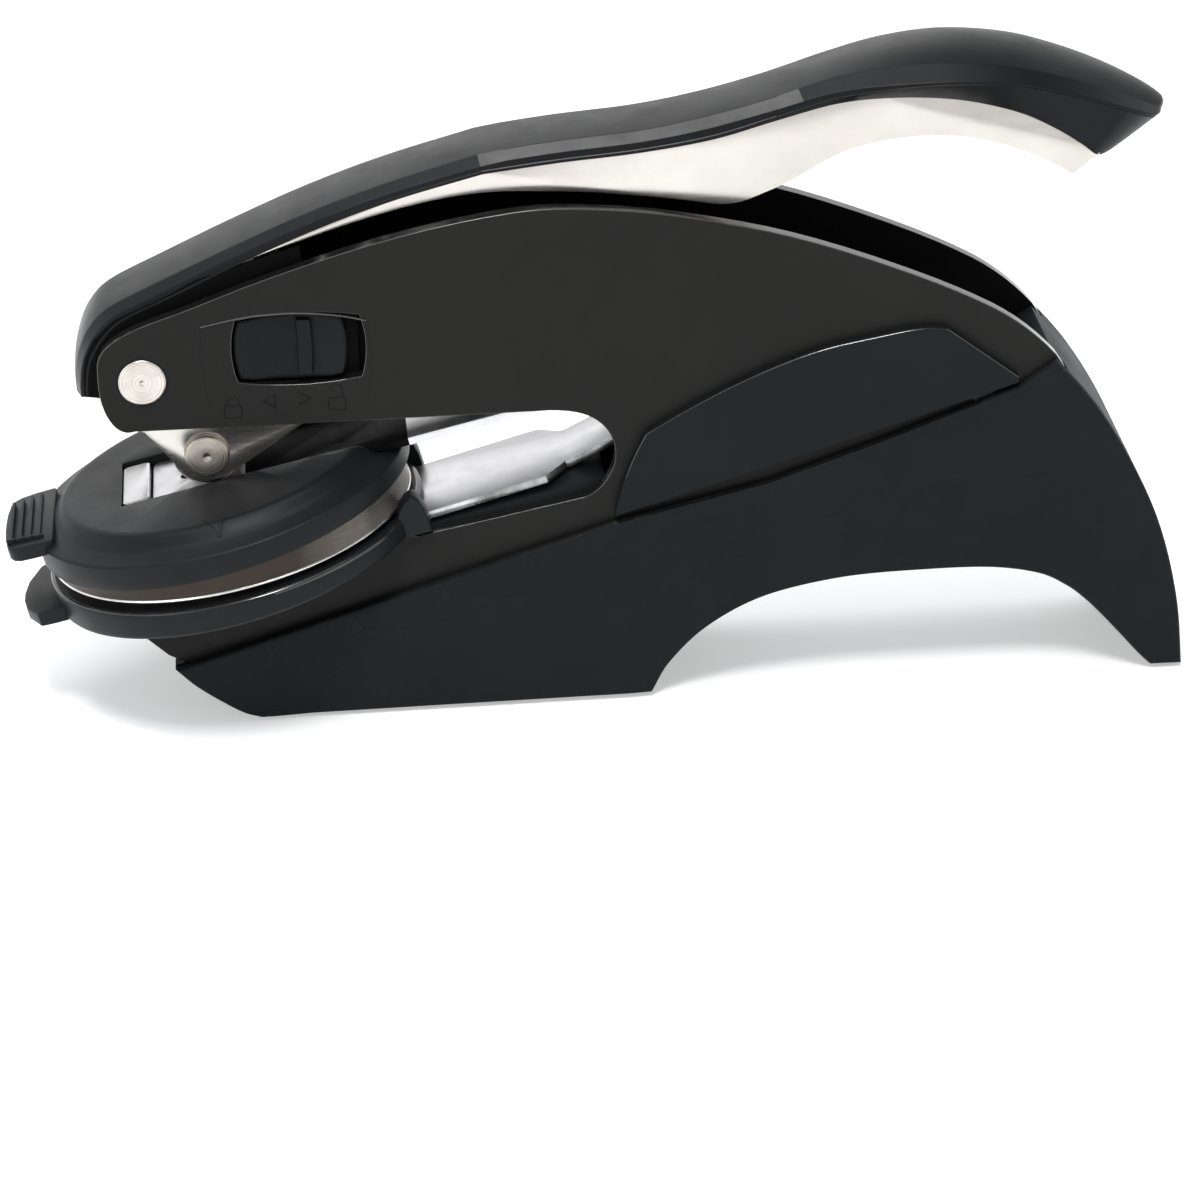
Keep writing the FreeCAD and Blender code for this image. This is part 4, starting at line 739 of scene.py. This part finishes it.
def cover_ring(row):
    # One closed section of the cover, with its hollow.
    outer, inner = handle(row[0:2]), handle(row[2:4])
    swell, wide_at, shoulder, shoulder_at, crease, crease_at = row[4:]
    half = COVER_SLIM + (COVER_WIDE - COVER_SLIM) * swell
    foot = min(half, COVER_SLIM)
    inside = min(COVER_INSIDE, foot - COVER_WALL)
    reach = outer - inner
    roof = web_roof(inner, reach)

    def at(y, t):
        p = inner + reach * t
        return (p[0], y, p[1])

    crease = half * crease
    bend = 1.0 - crease_at
    bead_at = wide_at + BEAD / max(np.linalg.norm(reach), 1.0)
    outline = [
        at(-foot, 0.0), at(-half, wide_at), at(-half + BEAD, bead_at),
        at(-half * shoulder, shoulder_at), at(-crease, crease_at)]
    outline += [at(-crease * k, 1.0 - bend * k * k) for k in (0.75, 0.5, 0.25)]
    outline.append(at(0.0, 1.0))
    mirror = [(p[0], -p[1], p[2]) for p in outline[:-1]][::-1]
    full = outline + mirror
    last = len(full) - 1
    ring = [full[0]]
    radii = {1: 0.10, 3: 0.30, 4: 0.25, last - 4: 0.25, last - 3: 0.30, last - 1: 0.10}
    for i in range(1, last):
        if i in radii:
            ring += round_corner(full[i - 1], full[i], full[i + 1], radii[i])
        else:
            ring.append(full[i])
    ring.append(full[-1])
    ring += [at(inside, 0.0), at(inside, roof), at(-inside, roof), at(-inside, 0.0)]
    return ring


def make_cover():
    front = smooth_path([np.array(r) for r in front_rows])
    rear = smooth_path([np.array(r) for r in rear_rows])
    rings = [cover_ring(r) for r in front + rear[2:]]
    # Three smaller rings round off the tail end
    last = np.array(rings[-1])
    centre = last.mean(0)
    for size, push in ((0.86, 0.22), (0.62, 0.42), (0.30, 0.52)):
        end = centre + (last - centre) * size + (push * 0.8, 0.0, -push * 0.6)
        rings.append([tuple(p) for p in end])
    return loft("handle_cover_shell", rings, 50.0)


cover = make_cover()
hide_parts("handle_cover")
give(cover, COVER, "lever")
# The facets at the sides of the middle have a fine grip texture, and their upward faces are painted
# lighter as painted sheen
FACET_FROM, FACET_TO = handle((0.3310, 0))[0] * MM, handle((0.640, 0))[0] * MM
FACET_IN, FACET_OUT = 6.25 * MM, 9.3 * MM


def on_facet(c, n):
    return FACET_FROM < c.x < FACET_TO and FACET_IN < abs(c.y) < FACET_OUT and n.z > 0.35


faces_of(cover, COVER_GRIP_SHEEN, on_facet)
flat_faces(cover)


SKIRT_IN, SKIRT_OUT = 8.66, 9.28


def cover_shade_skirt(side):
    # Thin dark wall inside the cover against the cheek at the nose, as painted shade.
    rows = [
        ((-0.0560, -0.0721), (-0.0200, -0.0900)), ((-0.0560, 0.0000), (-0.0330, 0.0300)),
        ((-0.0530, 0.0700), (-0.0300, 0.0700)), ((-0.0440, 0.1350), (-0.0200, 0.1150)),
        ((-0.0240, 0.2000), (-0.0050, 0.1500)), ((0.0200, 0.2650), (0.0300, 0.1750)),
        ((0.0560, 0.3320), (0.0640, 0.1900)), ((0.0950, 0.3720), (0.1000, 0.2000)),
        ((0.1300, 0.4080), (0.1350, 0.2700)), ((0.1560, 0.4350), (0.1600, 0.3500))]
    rings = []
    for outer, inner in rows:
        a, b = handle(outer), handle(inner)
        y0, y1 = side * SKIRT_IN, side * SKIRT_OUT
        rings.append([(a[0], y0, a[1]), (a[0], y1, a[1]), (b[0], y1, b[1]), (b[0], y0, b[1])])
    return loft("cover_shade_skirt_near" if side < 0 else "cover_shade_skirt_far", rings, 30.0)


for side in (-1, 1):
    give(cover_shade_skirt(side), SHADE_BLACK, "lever")


PIN_SIDES = 72


def full_pin(name, r, reach, head=None, head_high=0.0):
    # A pin with faced ends, each with a punched centre and a broken edge.
    top = head or r
    rows = [
        (0.02, reach - 0.30, 0), (0.25, reach - 0.14, 0), (0.50, reach - 0.02, 0),
        (0.75, reach, 0), (top - 0.42, reach, 0), (top - 0.20, reach - 0.05, 0),
        (top - 0.06, reach - 0.17, 0), (top, reach - 0.36, 0)]
    if head:
        rows += [(head, reach - head_high, 0), (r, reach - head_high - 0.001, 0)]
    rows += [(a, -b, 0) for a, b, _ in rows[::-1]]
    return turned_piece(name, rows, PIN_SIDES, 30.0)


# Pivot pin, a dark ring of painted shadow for the gap round it, and the roller pin with its head
PIVOT_R, PIVOT_REACH = 3.66, 13.1
GAP_IN, GAP_OUT, GAP_LOW, GAP_HIGH = 3.60, 3.98, 12.40, 12.78
pivot = along_y(full_pin("pivot_pin_turned", PIVOT_R, PIVOT_REACH), *PIVOT)
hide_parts("pivot_pin")
give(pivot, PIVOT_STEEL, "frame")
gap = [(GAP_IN, GAP_LOW), (GAP_IN, GAP_HIGH), (GAP_OUT, GAP_HIGH), (GAP_OUT, GAP_LOW)]
for side, name in ((-1, "near"), (1, "far")):
    ring = turned_piece("pivot_shadow_ring_" + name, [(r, -side * h, 0) for r, h in gap], PIN_SIDES)
    give(along_y(ring, *PIVOT), GROOVE_SHADE, "frame")
pin = along_y(full_pin("roller_pin_turned", r=2.1, reach=9.4, head=3.42, head_high=0.9), *ROLLER)
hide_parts("roller_pin")
give(pin, PIN_STEEL, "lever")

# ---------------------------------------------------------------- lock
# Middle of the lock window in the near plate
LOCK_X, LOCK_Z = PIVOT[0] + 24.0, PIVOT[1] + 4.1


def lock_button():
    # Dished slider with a rib, a broken edge and bulged ends, as a field of heights.
    long, high, bulge, round_r = 15.8, 9.5, 0.8, 0.7
    dish_r, dish_start, sunk = 16.0, 14.9, 0.45
    cx, cz = LOCK_X - 1.25, LOCK_Z
    rib_x, rib_half = cx + 2.0, 0.95
    us = np.concatenate([
        [0, 0.008, 0.02, 0.04], np.linspace(0.06, 0.94, 60), [0.96, 0.98, 0.992, 1]])
    extra = [rib_x + s * (rib_half + d) for s in (-1, 1) for d in (-0.25, 0.0, 0.12)]
    us = np.array(sorted(set(us.tolist()) | {(x - cx) / long + 0.5 for x in extra}))
    vs = np.concatenate([
        [0, 0.012, 0.03, 0.06, 0.085, 0.1], np.linspace(0.13, 0.87, 22),
        [0.9, 0.915, 0.94, 0.97, 0.988, 1]])
    verts = []
    for v in vs:
        for u in us:
            swell = bulge * (1 - (2 * v - 1) ** 2)
            x = cx + (u - 0.5) * (long + 2 * swell)
            lift = bulge * (1 - (2 * u - 1) ** 2)
            z = cz + (v - 0.5) * (high + 2 * lift)
            near = min(min(u, 1 - u) * long, min(v, 1 - v) * high)
            dx = (u - 0.5) * long
            dish = max(0.0, math.sqrt(dish_r * dish_r - dx * dx) - dish_start)
            on_rib = abs(cx + dx - rib_x) <= rib_half + 1e-6 and 0.09 < v < 0.91
            y = -PLATE_OUT + sunk + (0.0 if on_rib else dish)
            q = max(round_r - near, 0.0)
            y += round_r - math.sqrt(max(round_r * round_r - q * q, 0.0))
            verts.append((x, y, z))
    n, rows = len(us), len(vs)
    faces = grid_faces(rows, n)
    # The rim runs straight back to the inside of the plate
    rim = list(range(n)) + [j * n + n - 1 for j in range(1, rows)]
    rim += [(rows - 1) * n + i for i in range(n - 2, -1, -1)]
    rim += [j * n for j in range(rows - 2, 0, -1)]
    start = len(verts)
    verts += [(verts[i][0], -PLATE_IN - 0.02, verts[i][2]) for i in rim]
    for k in range(len(rim)):
        j = (k + 1) % len(rim)
        faces.append((rim[k], rim[j], start + j, start + k))
    faces.append(tuple(range(start, start + len(rim))))
    return mesh_object("lock_slider_dished", verts, faces, 40.0)


button = lock_button()
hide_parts("lock_slider")
give(button, PANEL, "lock")
# A dark strip inside the plate closes the end of the window as painted shade
shade_strip = box_mesh(
    "lock_shade_strip", LOCK_X + 8.6, LOCK_X + 12.4, -9.22, -8.98, LOCK_Z - 6.2, LOCK_Z + 6.2)
give(softened(shade_strip, 0.06), SHADE_BLACK, "frame")


def ribbon(name, points, width, y0, y1):
    # A thin raised line that follows points on a side face.
    p = np.array(points, float)
    last = len(p) - 1
    rings = []
    for i, q in enumerate(p):
        t = p[min(i + 1, last)] - p[max(i - 1, 0)]
        t = t / max(np.linalg.norm(t), 1e-9)
        m = np.array((-t[1], t[0])) * width / 2
        a, b = q + m, q - m
        top_a, top_b = a * 0.7 + b * 0.3, a * 0.3 + b * 0.7
        rings.append([
            (a[0], y0, a[1]), (top_a[0], y1, top_a[1]), (top_b[0], y1, top_b[1]), (b[0], y0, b[1])])
    return loft(name, rings, 60.0)


def half_circle(cx, cz, r, n=8):
    angles = [math.pi * k / n for k in range(n + 1)]
    return [(cx + r * math.cos(a), cz + r * math.sin(a)) for a in angles]


# Raised lines on the near plate start LINE_ROOT under its face
FACE_Y, LINE_ROOT = -PLATE_OUT, 0.05
left_line = [(-58.9, 53.0), (-59.5, 57.0), (-59.7, 61.5), (-59.4, 65.2)]
top_line = smooth_path([
    (-59.4, 65.55), (-54.0, 66.55), (-49.5, 66.95), (-44.2, 66.95), (-38.5, 66.25),
    (-34.3, 65.25)])
right_line = [(-34.2, 65.0), (-33.8, 61.0), (-33.9, 57.0), (-34.4, 53.0)]
outlines = (
    (left_line, 0.30, 0.10, PAINT), (top_line, 0.42, 0.20, EDGE), (right_line, 0.30, 0.10, PAINT))
for k, (run, wide, proud, stuff) in enumerate(outlines):
    outline = ribbon("lock_outline_%d" % (k + 1), run, wide, FACE_Y + LINE_ROOT, FACE_Y - proud)
    give(outline, stuff, "frame")


def sign_line(name, points, width):
    line = ribbon(name, points, width, FACE_Y + LINE_ROOT, FACE_Y - 0.10)
    give(line, GROOVE_SHADE, "frame")


# Under the window: an arrow each way between a closed and an open padlock, drawn in near-black
# painted shade
for k, (cx, cz, way) in enumerate([(-49.6, 52.9, -1), (-44.2, 53.1, 1)]):
    tri = [(cx - way * 0.9, cz - 1.0), (cx + way * 1.0, cz), (cx - way * 0.9, cz + 1.0)]
    tri += [tri[0]] if way < 0 else []
    sign_line("lock_arrow_%d" % (k + 1), tri, 0.36)
for k, (cx, cz, lift) in enumerate([(-55.2, 52.0, 0.0), (-39.3, 52.4, 0.8)]):
    body = [(cx + x, cz + z) for x, z in ((-1.3, -1.4), (1.3, -1.4), (1.3, 0.5), (-1.3, 0.5))]
    sign_line("lock_sign_%d" % (k + 1), body + body[:1], 0.34)
    bow = [(cx + 0.85, cz + 0.5), (cx + 0.85, cz + 1.1 + lift)]
    bow += half_circle(cx, cz + 1.1 + lift, 0.85)
    bow += [(cx - 0.85, cz + 0.5)] if not lift else []
    sign_line("lock_bow_%d" % (k + 1), bow, 0.34)

# ---------------------------------------------------------------- insert
# Rise of the cap's underside and of the parting face, per unit toward the tail
RISE_UP = math.tan(math.radians(1.2))
RISE_FACE = -math.tan(math.radians(1.7))
TURNED_SIDES = 160
upper_place, lower_place = die_matrix(True), die_matrix(False)


def in_upper(c):
    return upper_place.inverted() @ c / MM


def in_lower(c):
    return lower_place.inverted() @ c / MM


# Behind the roller the strip is painted black as far as the rim of the cap, as painted shade
SHADE_FROM, SHADE_TO = 4.6, 30.6
upper = dressed("upper_leaf", 0.15)
bm = bmesh.new()
bm.from_mesh(upper.data)
for s in (SHADE_FROM, SHADE_TO):
    bmesh.ops.bisect_plane(
        bm, geom=bm.verts[:] + bm.edges[:] + bm.faces[:],
        plane_co=upper_place @ (Vector((s, 0, 0)) * MM),
        plane_no=upper_place.to_3x3() @ Vector((1, 0, 0)))
bm.to_mesh(upper.data)
bm.free()
give(upper, LEAF, "upper_clip")
# The strip's faces between these two places get the near-black painted shade
faces_of(upper, SHADE_BLACK, lambda c, n: SHADE_FROM < in_upper(c).x < SHADE_TO)
give(dressed("leaf_catch", 0.2, 2), LEAF, "upper_clip")
strip = give(dressed("lower_leaf", 0.12), LEAF, "lower_clip")
# The near face of the lower strip gets painted shade and painted reflection in patches
faces_of(strip, LEAF_EDGE_SHADE_AND_GLINT, lambda c, n: n.y < -0.5)


# Channels of the two holders: where they begin, half their width, and their floor or roof
CAP_SLOT_FROM, CAP_SLOT_HALF, CAP_SLOT_DEEP = -15.0, 8.7, 1.2
LOW_SLOT_FROM, LOW_SLOT_HALF, LOW_SLOT_TOP = -18.0, 9.78, 1.5
SLOT_TO = 40.0


def make_cap():
    rows = [
        (20.0, 8.6, RISE_UP), (28.6, 7.95, RISE_UP), (29.6, 7.93, RISE_UP), (29.88, 8.02, RISE_UP),
        (HOLDER_R, 8.25, RISE_UP), (HOLDER_R, 9.5, RISE_UP * 0.6), (HOLDER_R, 11.30, 0),
        (29.96, 11.46, 0), (29.84, 11.60, 0), (29.6, 11.70, 0), (29.3, 11.78, 0), (27.2, 12.40, 0),
        (26.6, 12.68, 0), (26.1, 13.06, 0), (25.4, 13.78, 0), (24.9, 14.20, 0), (24.4, 14.43, 0),
        (23.6, 14.52, 0), (18.0, 14.60, 0), (11.0, 14.68, 0), (5.0, 14.73, 0), (0.4, 14.75, 0)]
    cap = turned_piece("upper_cap_shell", rows, TURNED_SIDES, 40.0)
    slot = box_mesh(
        "slot", CAP_SLOT_FROM, SLOT_TO, -CAP_SLOT_HALF, CAP_SLOT_HALF,
        STACK - CAP_SLOT_DEEP, STACK + 6.0)
    return carved(cap, [slot])


def pull_tab(name, outline, h0, h1, slope, root=-25.5):
    # Tab in front of a holder, its outline given for one half. Its top slopes
    # down from s -28 to the front.
    pts = [(root, outline[0][1])] + outline
    pts += [(x, -y) for x, y in pts[::-1]]
    bottom = [(x, y, h0) for x, y in pts]
    upper = [(x, y, h1 - slope * max(0.0, -28.0 - x)) for x, y in pts]
    return loft(name, [bottom, upper])


cap = in_die(softened(make_cap(), 0.22, 50.0, 2), True)
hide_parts("upper_cap")
give(cap, HOLDER, "upper_clip")
upper_edge = [(-30.0, 10.4), (-32.2, 10.2), (-33.3, 9.5), (-33.9, 8.2), (-34.3, 5.0), (-34.45, 1.6)]
tab = pull_tab("upper_tab", upper_edge, STACK - 2.9, STACK - 0.35, 0.05, -26.4)
tab = softened(tab, 0.35, 40, 3)
give(in_die(tab, True), HOLDER, "upper_clip")
# Four ribs across the tab, each with a short cross at its near end
RIB_LOW, RIB_TOP = STACK - 1.3, STACK + 0.12
for k in range(4):
    x = -33.1 + 1.5 * k
    w = 7.4 + 0.3 * k
    bar = box_mesh("upper_tab_rib_%d" % (k + 1), x - 0.24, x + 0.24, -w, w, RIB_LOW, RIB_TOP)
    cross = box_mesh("cross", x - 0.70, x + 0.70, -w - 0.45, -w + 0.20, RIB_LOW, RIB_TOP)
    bar = softened(carved(bar, [cross], True), 0.10, 40, 2)
    give(in_die(bar, True), SHOE, "upper_clip")
# A plain arrow runs over the edge of the dome toward the rim, drawn in near-black painted shade
dome = np.array([
    (21.0, 14.56), (24.4, 14.43), (24.9, 14.20), (25.4, 13.78), (26.1, 13.06), (26.6, 12.68),
    (27.2, 12.40)])
TIP_S, TIP_R, STROKE, STROKE_LOW, STROKE_TOP = 0.2, 26.4, 0.24, 0.8, 0.10
for k, (s0, r0) in enumerate(((-1.75, 22.7), (1.5, 23.6))):
    rings = []
    for share in np.linspace(0, 1, 9):
        s, r = s0 + (TIP_S - s0) * share, r0 + (TIP_R - r0) * share
        h = float(np.interp(r, dome[:, 0], dome[:, 1]))
        s1, s2, low, top = s - STROKE, s + STROKE, h - STROKE_LOW, h + STROKE_TOP
        rings.append([(s1, -r, low), (s1, -r, top), (s2, -r, top), (s2, -r, low)])
    give(in_die(loft("cap_arrow_%d" % (k + 1), rings), True), GROOVE_SHADE, "upper_clip")

# The drum has a narrow bright ledge at its lower edge
LEDGE_TOP = 4.90
drum_rows = [
    (25.7, 4.42, RISE_FACE), (28.35, 4.42, RISE_FACE), (28.6, 4.46, RISE_FACE),
    (28.84, 4.52, RISE_FACE), (DRUM_R, 4.60, RISE_FACE), (DRUM_R, 4.70, RISE_FACE),
    (28.87, 4.76, RISE_FACE), (28.76, 4.87, RISE_FACE), (28.73, 4.95, RISE_FACE), (28.73, 6.5, 0.0),
    (28.73, 7.86, RISE_UP), (25.7, 7.86, RISE_UP)]
drum = in_die(turned_piece("drum_band", drum_rows, TURNED_SIDES, 40.0), True)
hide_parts("upper_die_body")
give(drum, DRUM, "upper_clip")
faces_of(drum, LEDGE, lambda c, n: in_upper(c).z - RISE_FACE * in_upper(c).x < LEDGE_TOP)


def make_lower():
    rows = [
        (12.0, 0.9, 0), (28.2, 0.02, 0), (29.2, 0.05, 0), (29.72, 0.26, 0), (29.95, 0.62, 0),
        (HOLDER_R, 1.0, 0), (HOLDER_R, 2.4, 0), (HOLDER_R, 3.55, RISE_FACE),
        (29.9, 3.92, RISE_FACE), (29.65, 4.12, RISE_FACE), (29.3, 4.18, RISE_FACE),
        (25.6, 4.18, RISE_FACE), (25.6, 2.55, RISE_FACE), (12.0, 2.55, RISE_FACE)]
    body = turned_piece("lower_holder_shell", rows, TURNED_SIDES, 40.0)
    slot = box_mesh(
        "slot", LOW_SLOT_FROM, SLOT_TO, -LOW_SLOT_HALF, LOW_SLOT_HALF, -3.0, LOW_SLOT_TOP)
    return carved(body, [slot])


lower = in_die(softened(make_lower(), 0.2, 50.0, 2), False)
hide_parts("lower_holder")
give(lower, HOLDER, "lower_clip")
# The broken edge along its rim catches the light
RIM_LOW, RIM_IN = 3.4, 29.2


def on_lower_rim(c, n):
    p = in_lower(c)
    return RIM_LOW < p.z - RISE_FACE * p.x and p.to_2d().length > RIM_IN and n.z > 0.3


faces_of(lower, EDGE, on_lower_rim)
lower_edge = [(-30.0, 9.7), (-32.6, 9.4), (-34.6, 5.2), (-35.2, 1.2)]
tab = softened(pull_tab("lower_tab", lower_edge, 0.0, 3.0, 0.16), 0.28, 30, 2)
give(in_die(tab, False), HOLDER, "lower_clip")


def ear(side):
    # Rounded hump at the rear of the lower holder, beside the strip.
    y0, y1 = 10.4, 14.2
    cs, ch = 28.0, 2.5
    section = [
        (25.6, 0.2), (25.6, 3.4), (26.5, 5.0), (27.6, 6.1), (28.5, 6.5), (29.2, 6.4), (29.7, 5.8),
        (30.0, 4.8), (30.4, 3.2), (30.5, 0.2)]
    rounding = ((0.0, 0.55), (0.35, 0.12), (0.8, 0.0))
    steps = [(y0 + d, fall) for d, fall in rounding]
    steps += [(y1 - d, fall) for d, fall in rounding[::-1]]
    rings = []
    for y, fall in steps:
        ring = []
        for s, h in section:
            sink = 0.16 * fall if h > 0.2 else 0.0
            ring.append((s + (cs - s) * fall * 0.12, side * y, h + (ch - h) * sink))
        rings.append(ring)
    return loft("lower_ear_near" if side < 0 else "lower_ear_far", rings, 50.0)


for side in (-1, 1):
    give(in_die(ear(side), False), HOLDER, "lower_clip")

# ---------------------------------------------------------------- studio
FLOOR_SIZE, FLOOR_GREY, FLOOR_GLOW = 6.0, 0.80, 0.42
SKY_COLOUR, SKY_LEVEL = (0.93, 0.96, 1.0, 1), 0.45
WHITE = (1, 1, 1, 1)
# Height, as a share of the way up, at which the backdrop begins and ends to darken
DROP_FROM, DROP_TO, DROP_DARK = 0.42, 0.86, 0.16


def larger(nt, a, b):
    # The larger of two values.
    m = nt.nodes.new("ShaderNodeMath")
    m.operation = "MAXIMUM"
    nt.links.new(a, m.inputs[0])
    nt.links.new(b, m.inputs[1])
    return m.outputs[0]


bpy.ops.mesh.primitive_plane_add(size=FLOOR_SIZE, location=(0, 0, 0))
floor = bpy.context.object
floor.name = "floor"
m = bpy.data.materials.new("floor")
nt = empty_tree(m)
out = nt.nodes.new("ShaderNodeOutputMaterial")
mix = nt.nodes.new("ShaderNodeAddShader")
diffuse = nt.nodes.new("ShaderNodeBsdfDiffuse")
diffuse.inputs[0].default_value = (FLOOR_GREY, FLOOR_GREY, FLOOR_GREY, 1)
glow = nt.nodes.new("ShaderNodeEmission")
glow.inputs[0].default_value = WHITE
path = nt.nodes.new("ShaderNodeLightPath")
gain = nt.nodes.new("ShaderNodeMath")
gain.operation = "MULTIPLY"
gain.inputs[1].default_value = FLOOR_GLOW
seen = larger(nt, path.outputs["Is Camera Ray"], path.outputs["Is Glossy Ray"])
nt.links.new(seen, gain.inputs[0])
nt.links.new(gain.outputs[0], glow.inputs[1])
nt.links.new(diffuse.outputs[0], mix.inputs[0])
nt.links.new(glow.outputs[0], mix.inputs[1])
nt.links.new(mix.outputs[0], out.inputs[0])
floor.data.materials.append(m)

world = bpy.data.worlds.new("studio")
bpy.context.scene.world = world
nt = empty_tree(world)
out = nt.nodes.new("ShaderNodeOutputWorld")
soft = nt.nodes.new("ShaderNodeBackground")
soft.inputs[0].default_value = SKY_COLOUR
soft.inputs[1].default_value = SKY_LEVEL
# The camera sees plain white. Gloss shows white to the height of the backdrop and
# a darker room overhead
white = nt.nodes.new("ShaderNodeBackground")
white.inputs[0].default_value = WHITE
path = nt.nodes.new("ShaderNodeLightPath")
coord = nt.nodes.new("ShaderNodeTexCoord")
parts = nt.nodes.new("ShaderNodeSeparateXYZ")
nt.links.new(coord.outputs["Generated"], parts.inputs[0])
fall = nt.nodes.new("ShaderNodeMapRange")
fall.interpolation_type = "SMOOTHSTEP"
fall.inputs["From Min"].default_value = DROP_FROM
fall.inputs["From Max"].default_value = DROP_TO
fall.inputs["To Min"].default_value = 1.0
fall.inputs["To Max"].default_value = DROP_DARK
nt.links.new(parts.outputs[2], fall.inputs["Value"])
camera_ray = path.outputs["Is Camera Ray"]
nt.links.new(larger(nt, fall.outputs[0], camera_ray), white.inputs[1])
seen = larger(nt, camera_ray, path.outputs["Is Glossy Ray"])
seen = larger(nt, seen, path.outputs["Is Transmission Ray"])
mix = nt.nodes.new("ShaderNodeMixShader")
nt.links.new(seen, mix.inputs[0])
nt.links.new(soft.outputs[0], mix.inputs[1])
nt.links.new(white.outputs[0], mix.inputs[2])
nt.links.new(mix.outputs[0], out.inputs[0])


def area(name, place, target, size, power):
    # A square white lamp that looks at the target.
    data = bpy.data.lights.new(name, "AREA")
    data.shape = "SQUARE"
    data.size = size
    data.energy = power
    lamp = link(bpy.data.objects.new(name, data))
    lamp.location = place
    lamp.rotation_mode = "QUATERNION"
    lamp.rotation_quaternion = (Vector(target) - Vector(place)).to_track_quat("-Z", "Y")
    return lamp


area("key_top", (-0.2, 0.15, 1.1), (0, 0, 0.03), 0.9, 7.0)
area("edge_light", (-0.10, -0.55, 1.05), (0, 0, 0.04), 0.26, 8.0)
area("fill_left", (-0.9, -0.7, 0.35), (0, 0, 0.03), 0.8, 2.4)
area("fill_right", (0.9, -0.8, 0.45), (0, 0, 0.04), 0.8, 0.7)
area("rim_back", (-0.15, 1.05, 0.55), (0, 0, 0.08), 0.7, 0.8)

# The camera as it was fitted to the photograph: place in metres, then azimuth,
# elevation and roll in degrees
CAMERA_AT, CAMERA_TURN = (-0.045798, -0.671745, 0.313822), (-3.977, 24.234, 1.716)
cam_data = bpy.data.cameras.new("camera")
cam_data.lens = 138.9
cam_data.sensor_width = 36.0
cam_data.clip_start = 0.02
cam_data.clip_end = 20.0
camera = link(bpy.data.objects.new("camera", cam_data))
a, e, r = (math.radians(v) for v in CAMERA_TURN)
back = Vector((math.sin(a) * math.cos(e), -math.cos(a) * math.cos(e), math.sin(e)))
right = Vector((math.cos(a), math.sin(a), 0))
up = back.cross(right)
x_axis = math.cos(r) * right - math.sin(r) * up
y_axis = math.sin(r) * right + math.cos(r) * up
turn = Matrix((x_axis, y_axis, back)).transposed().to_4x4()
camera.matrix_world = Matrix.Translation(CAMERA_AT) @ turn
bpy.context.scene.camera = camera
bpy.context.scene.view_settings.view_transform = "Standard"
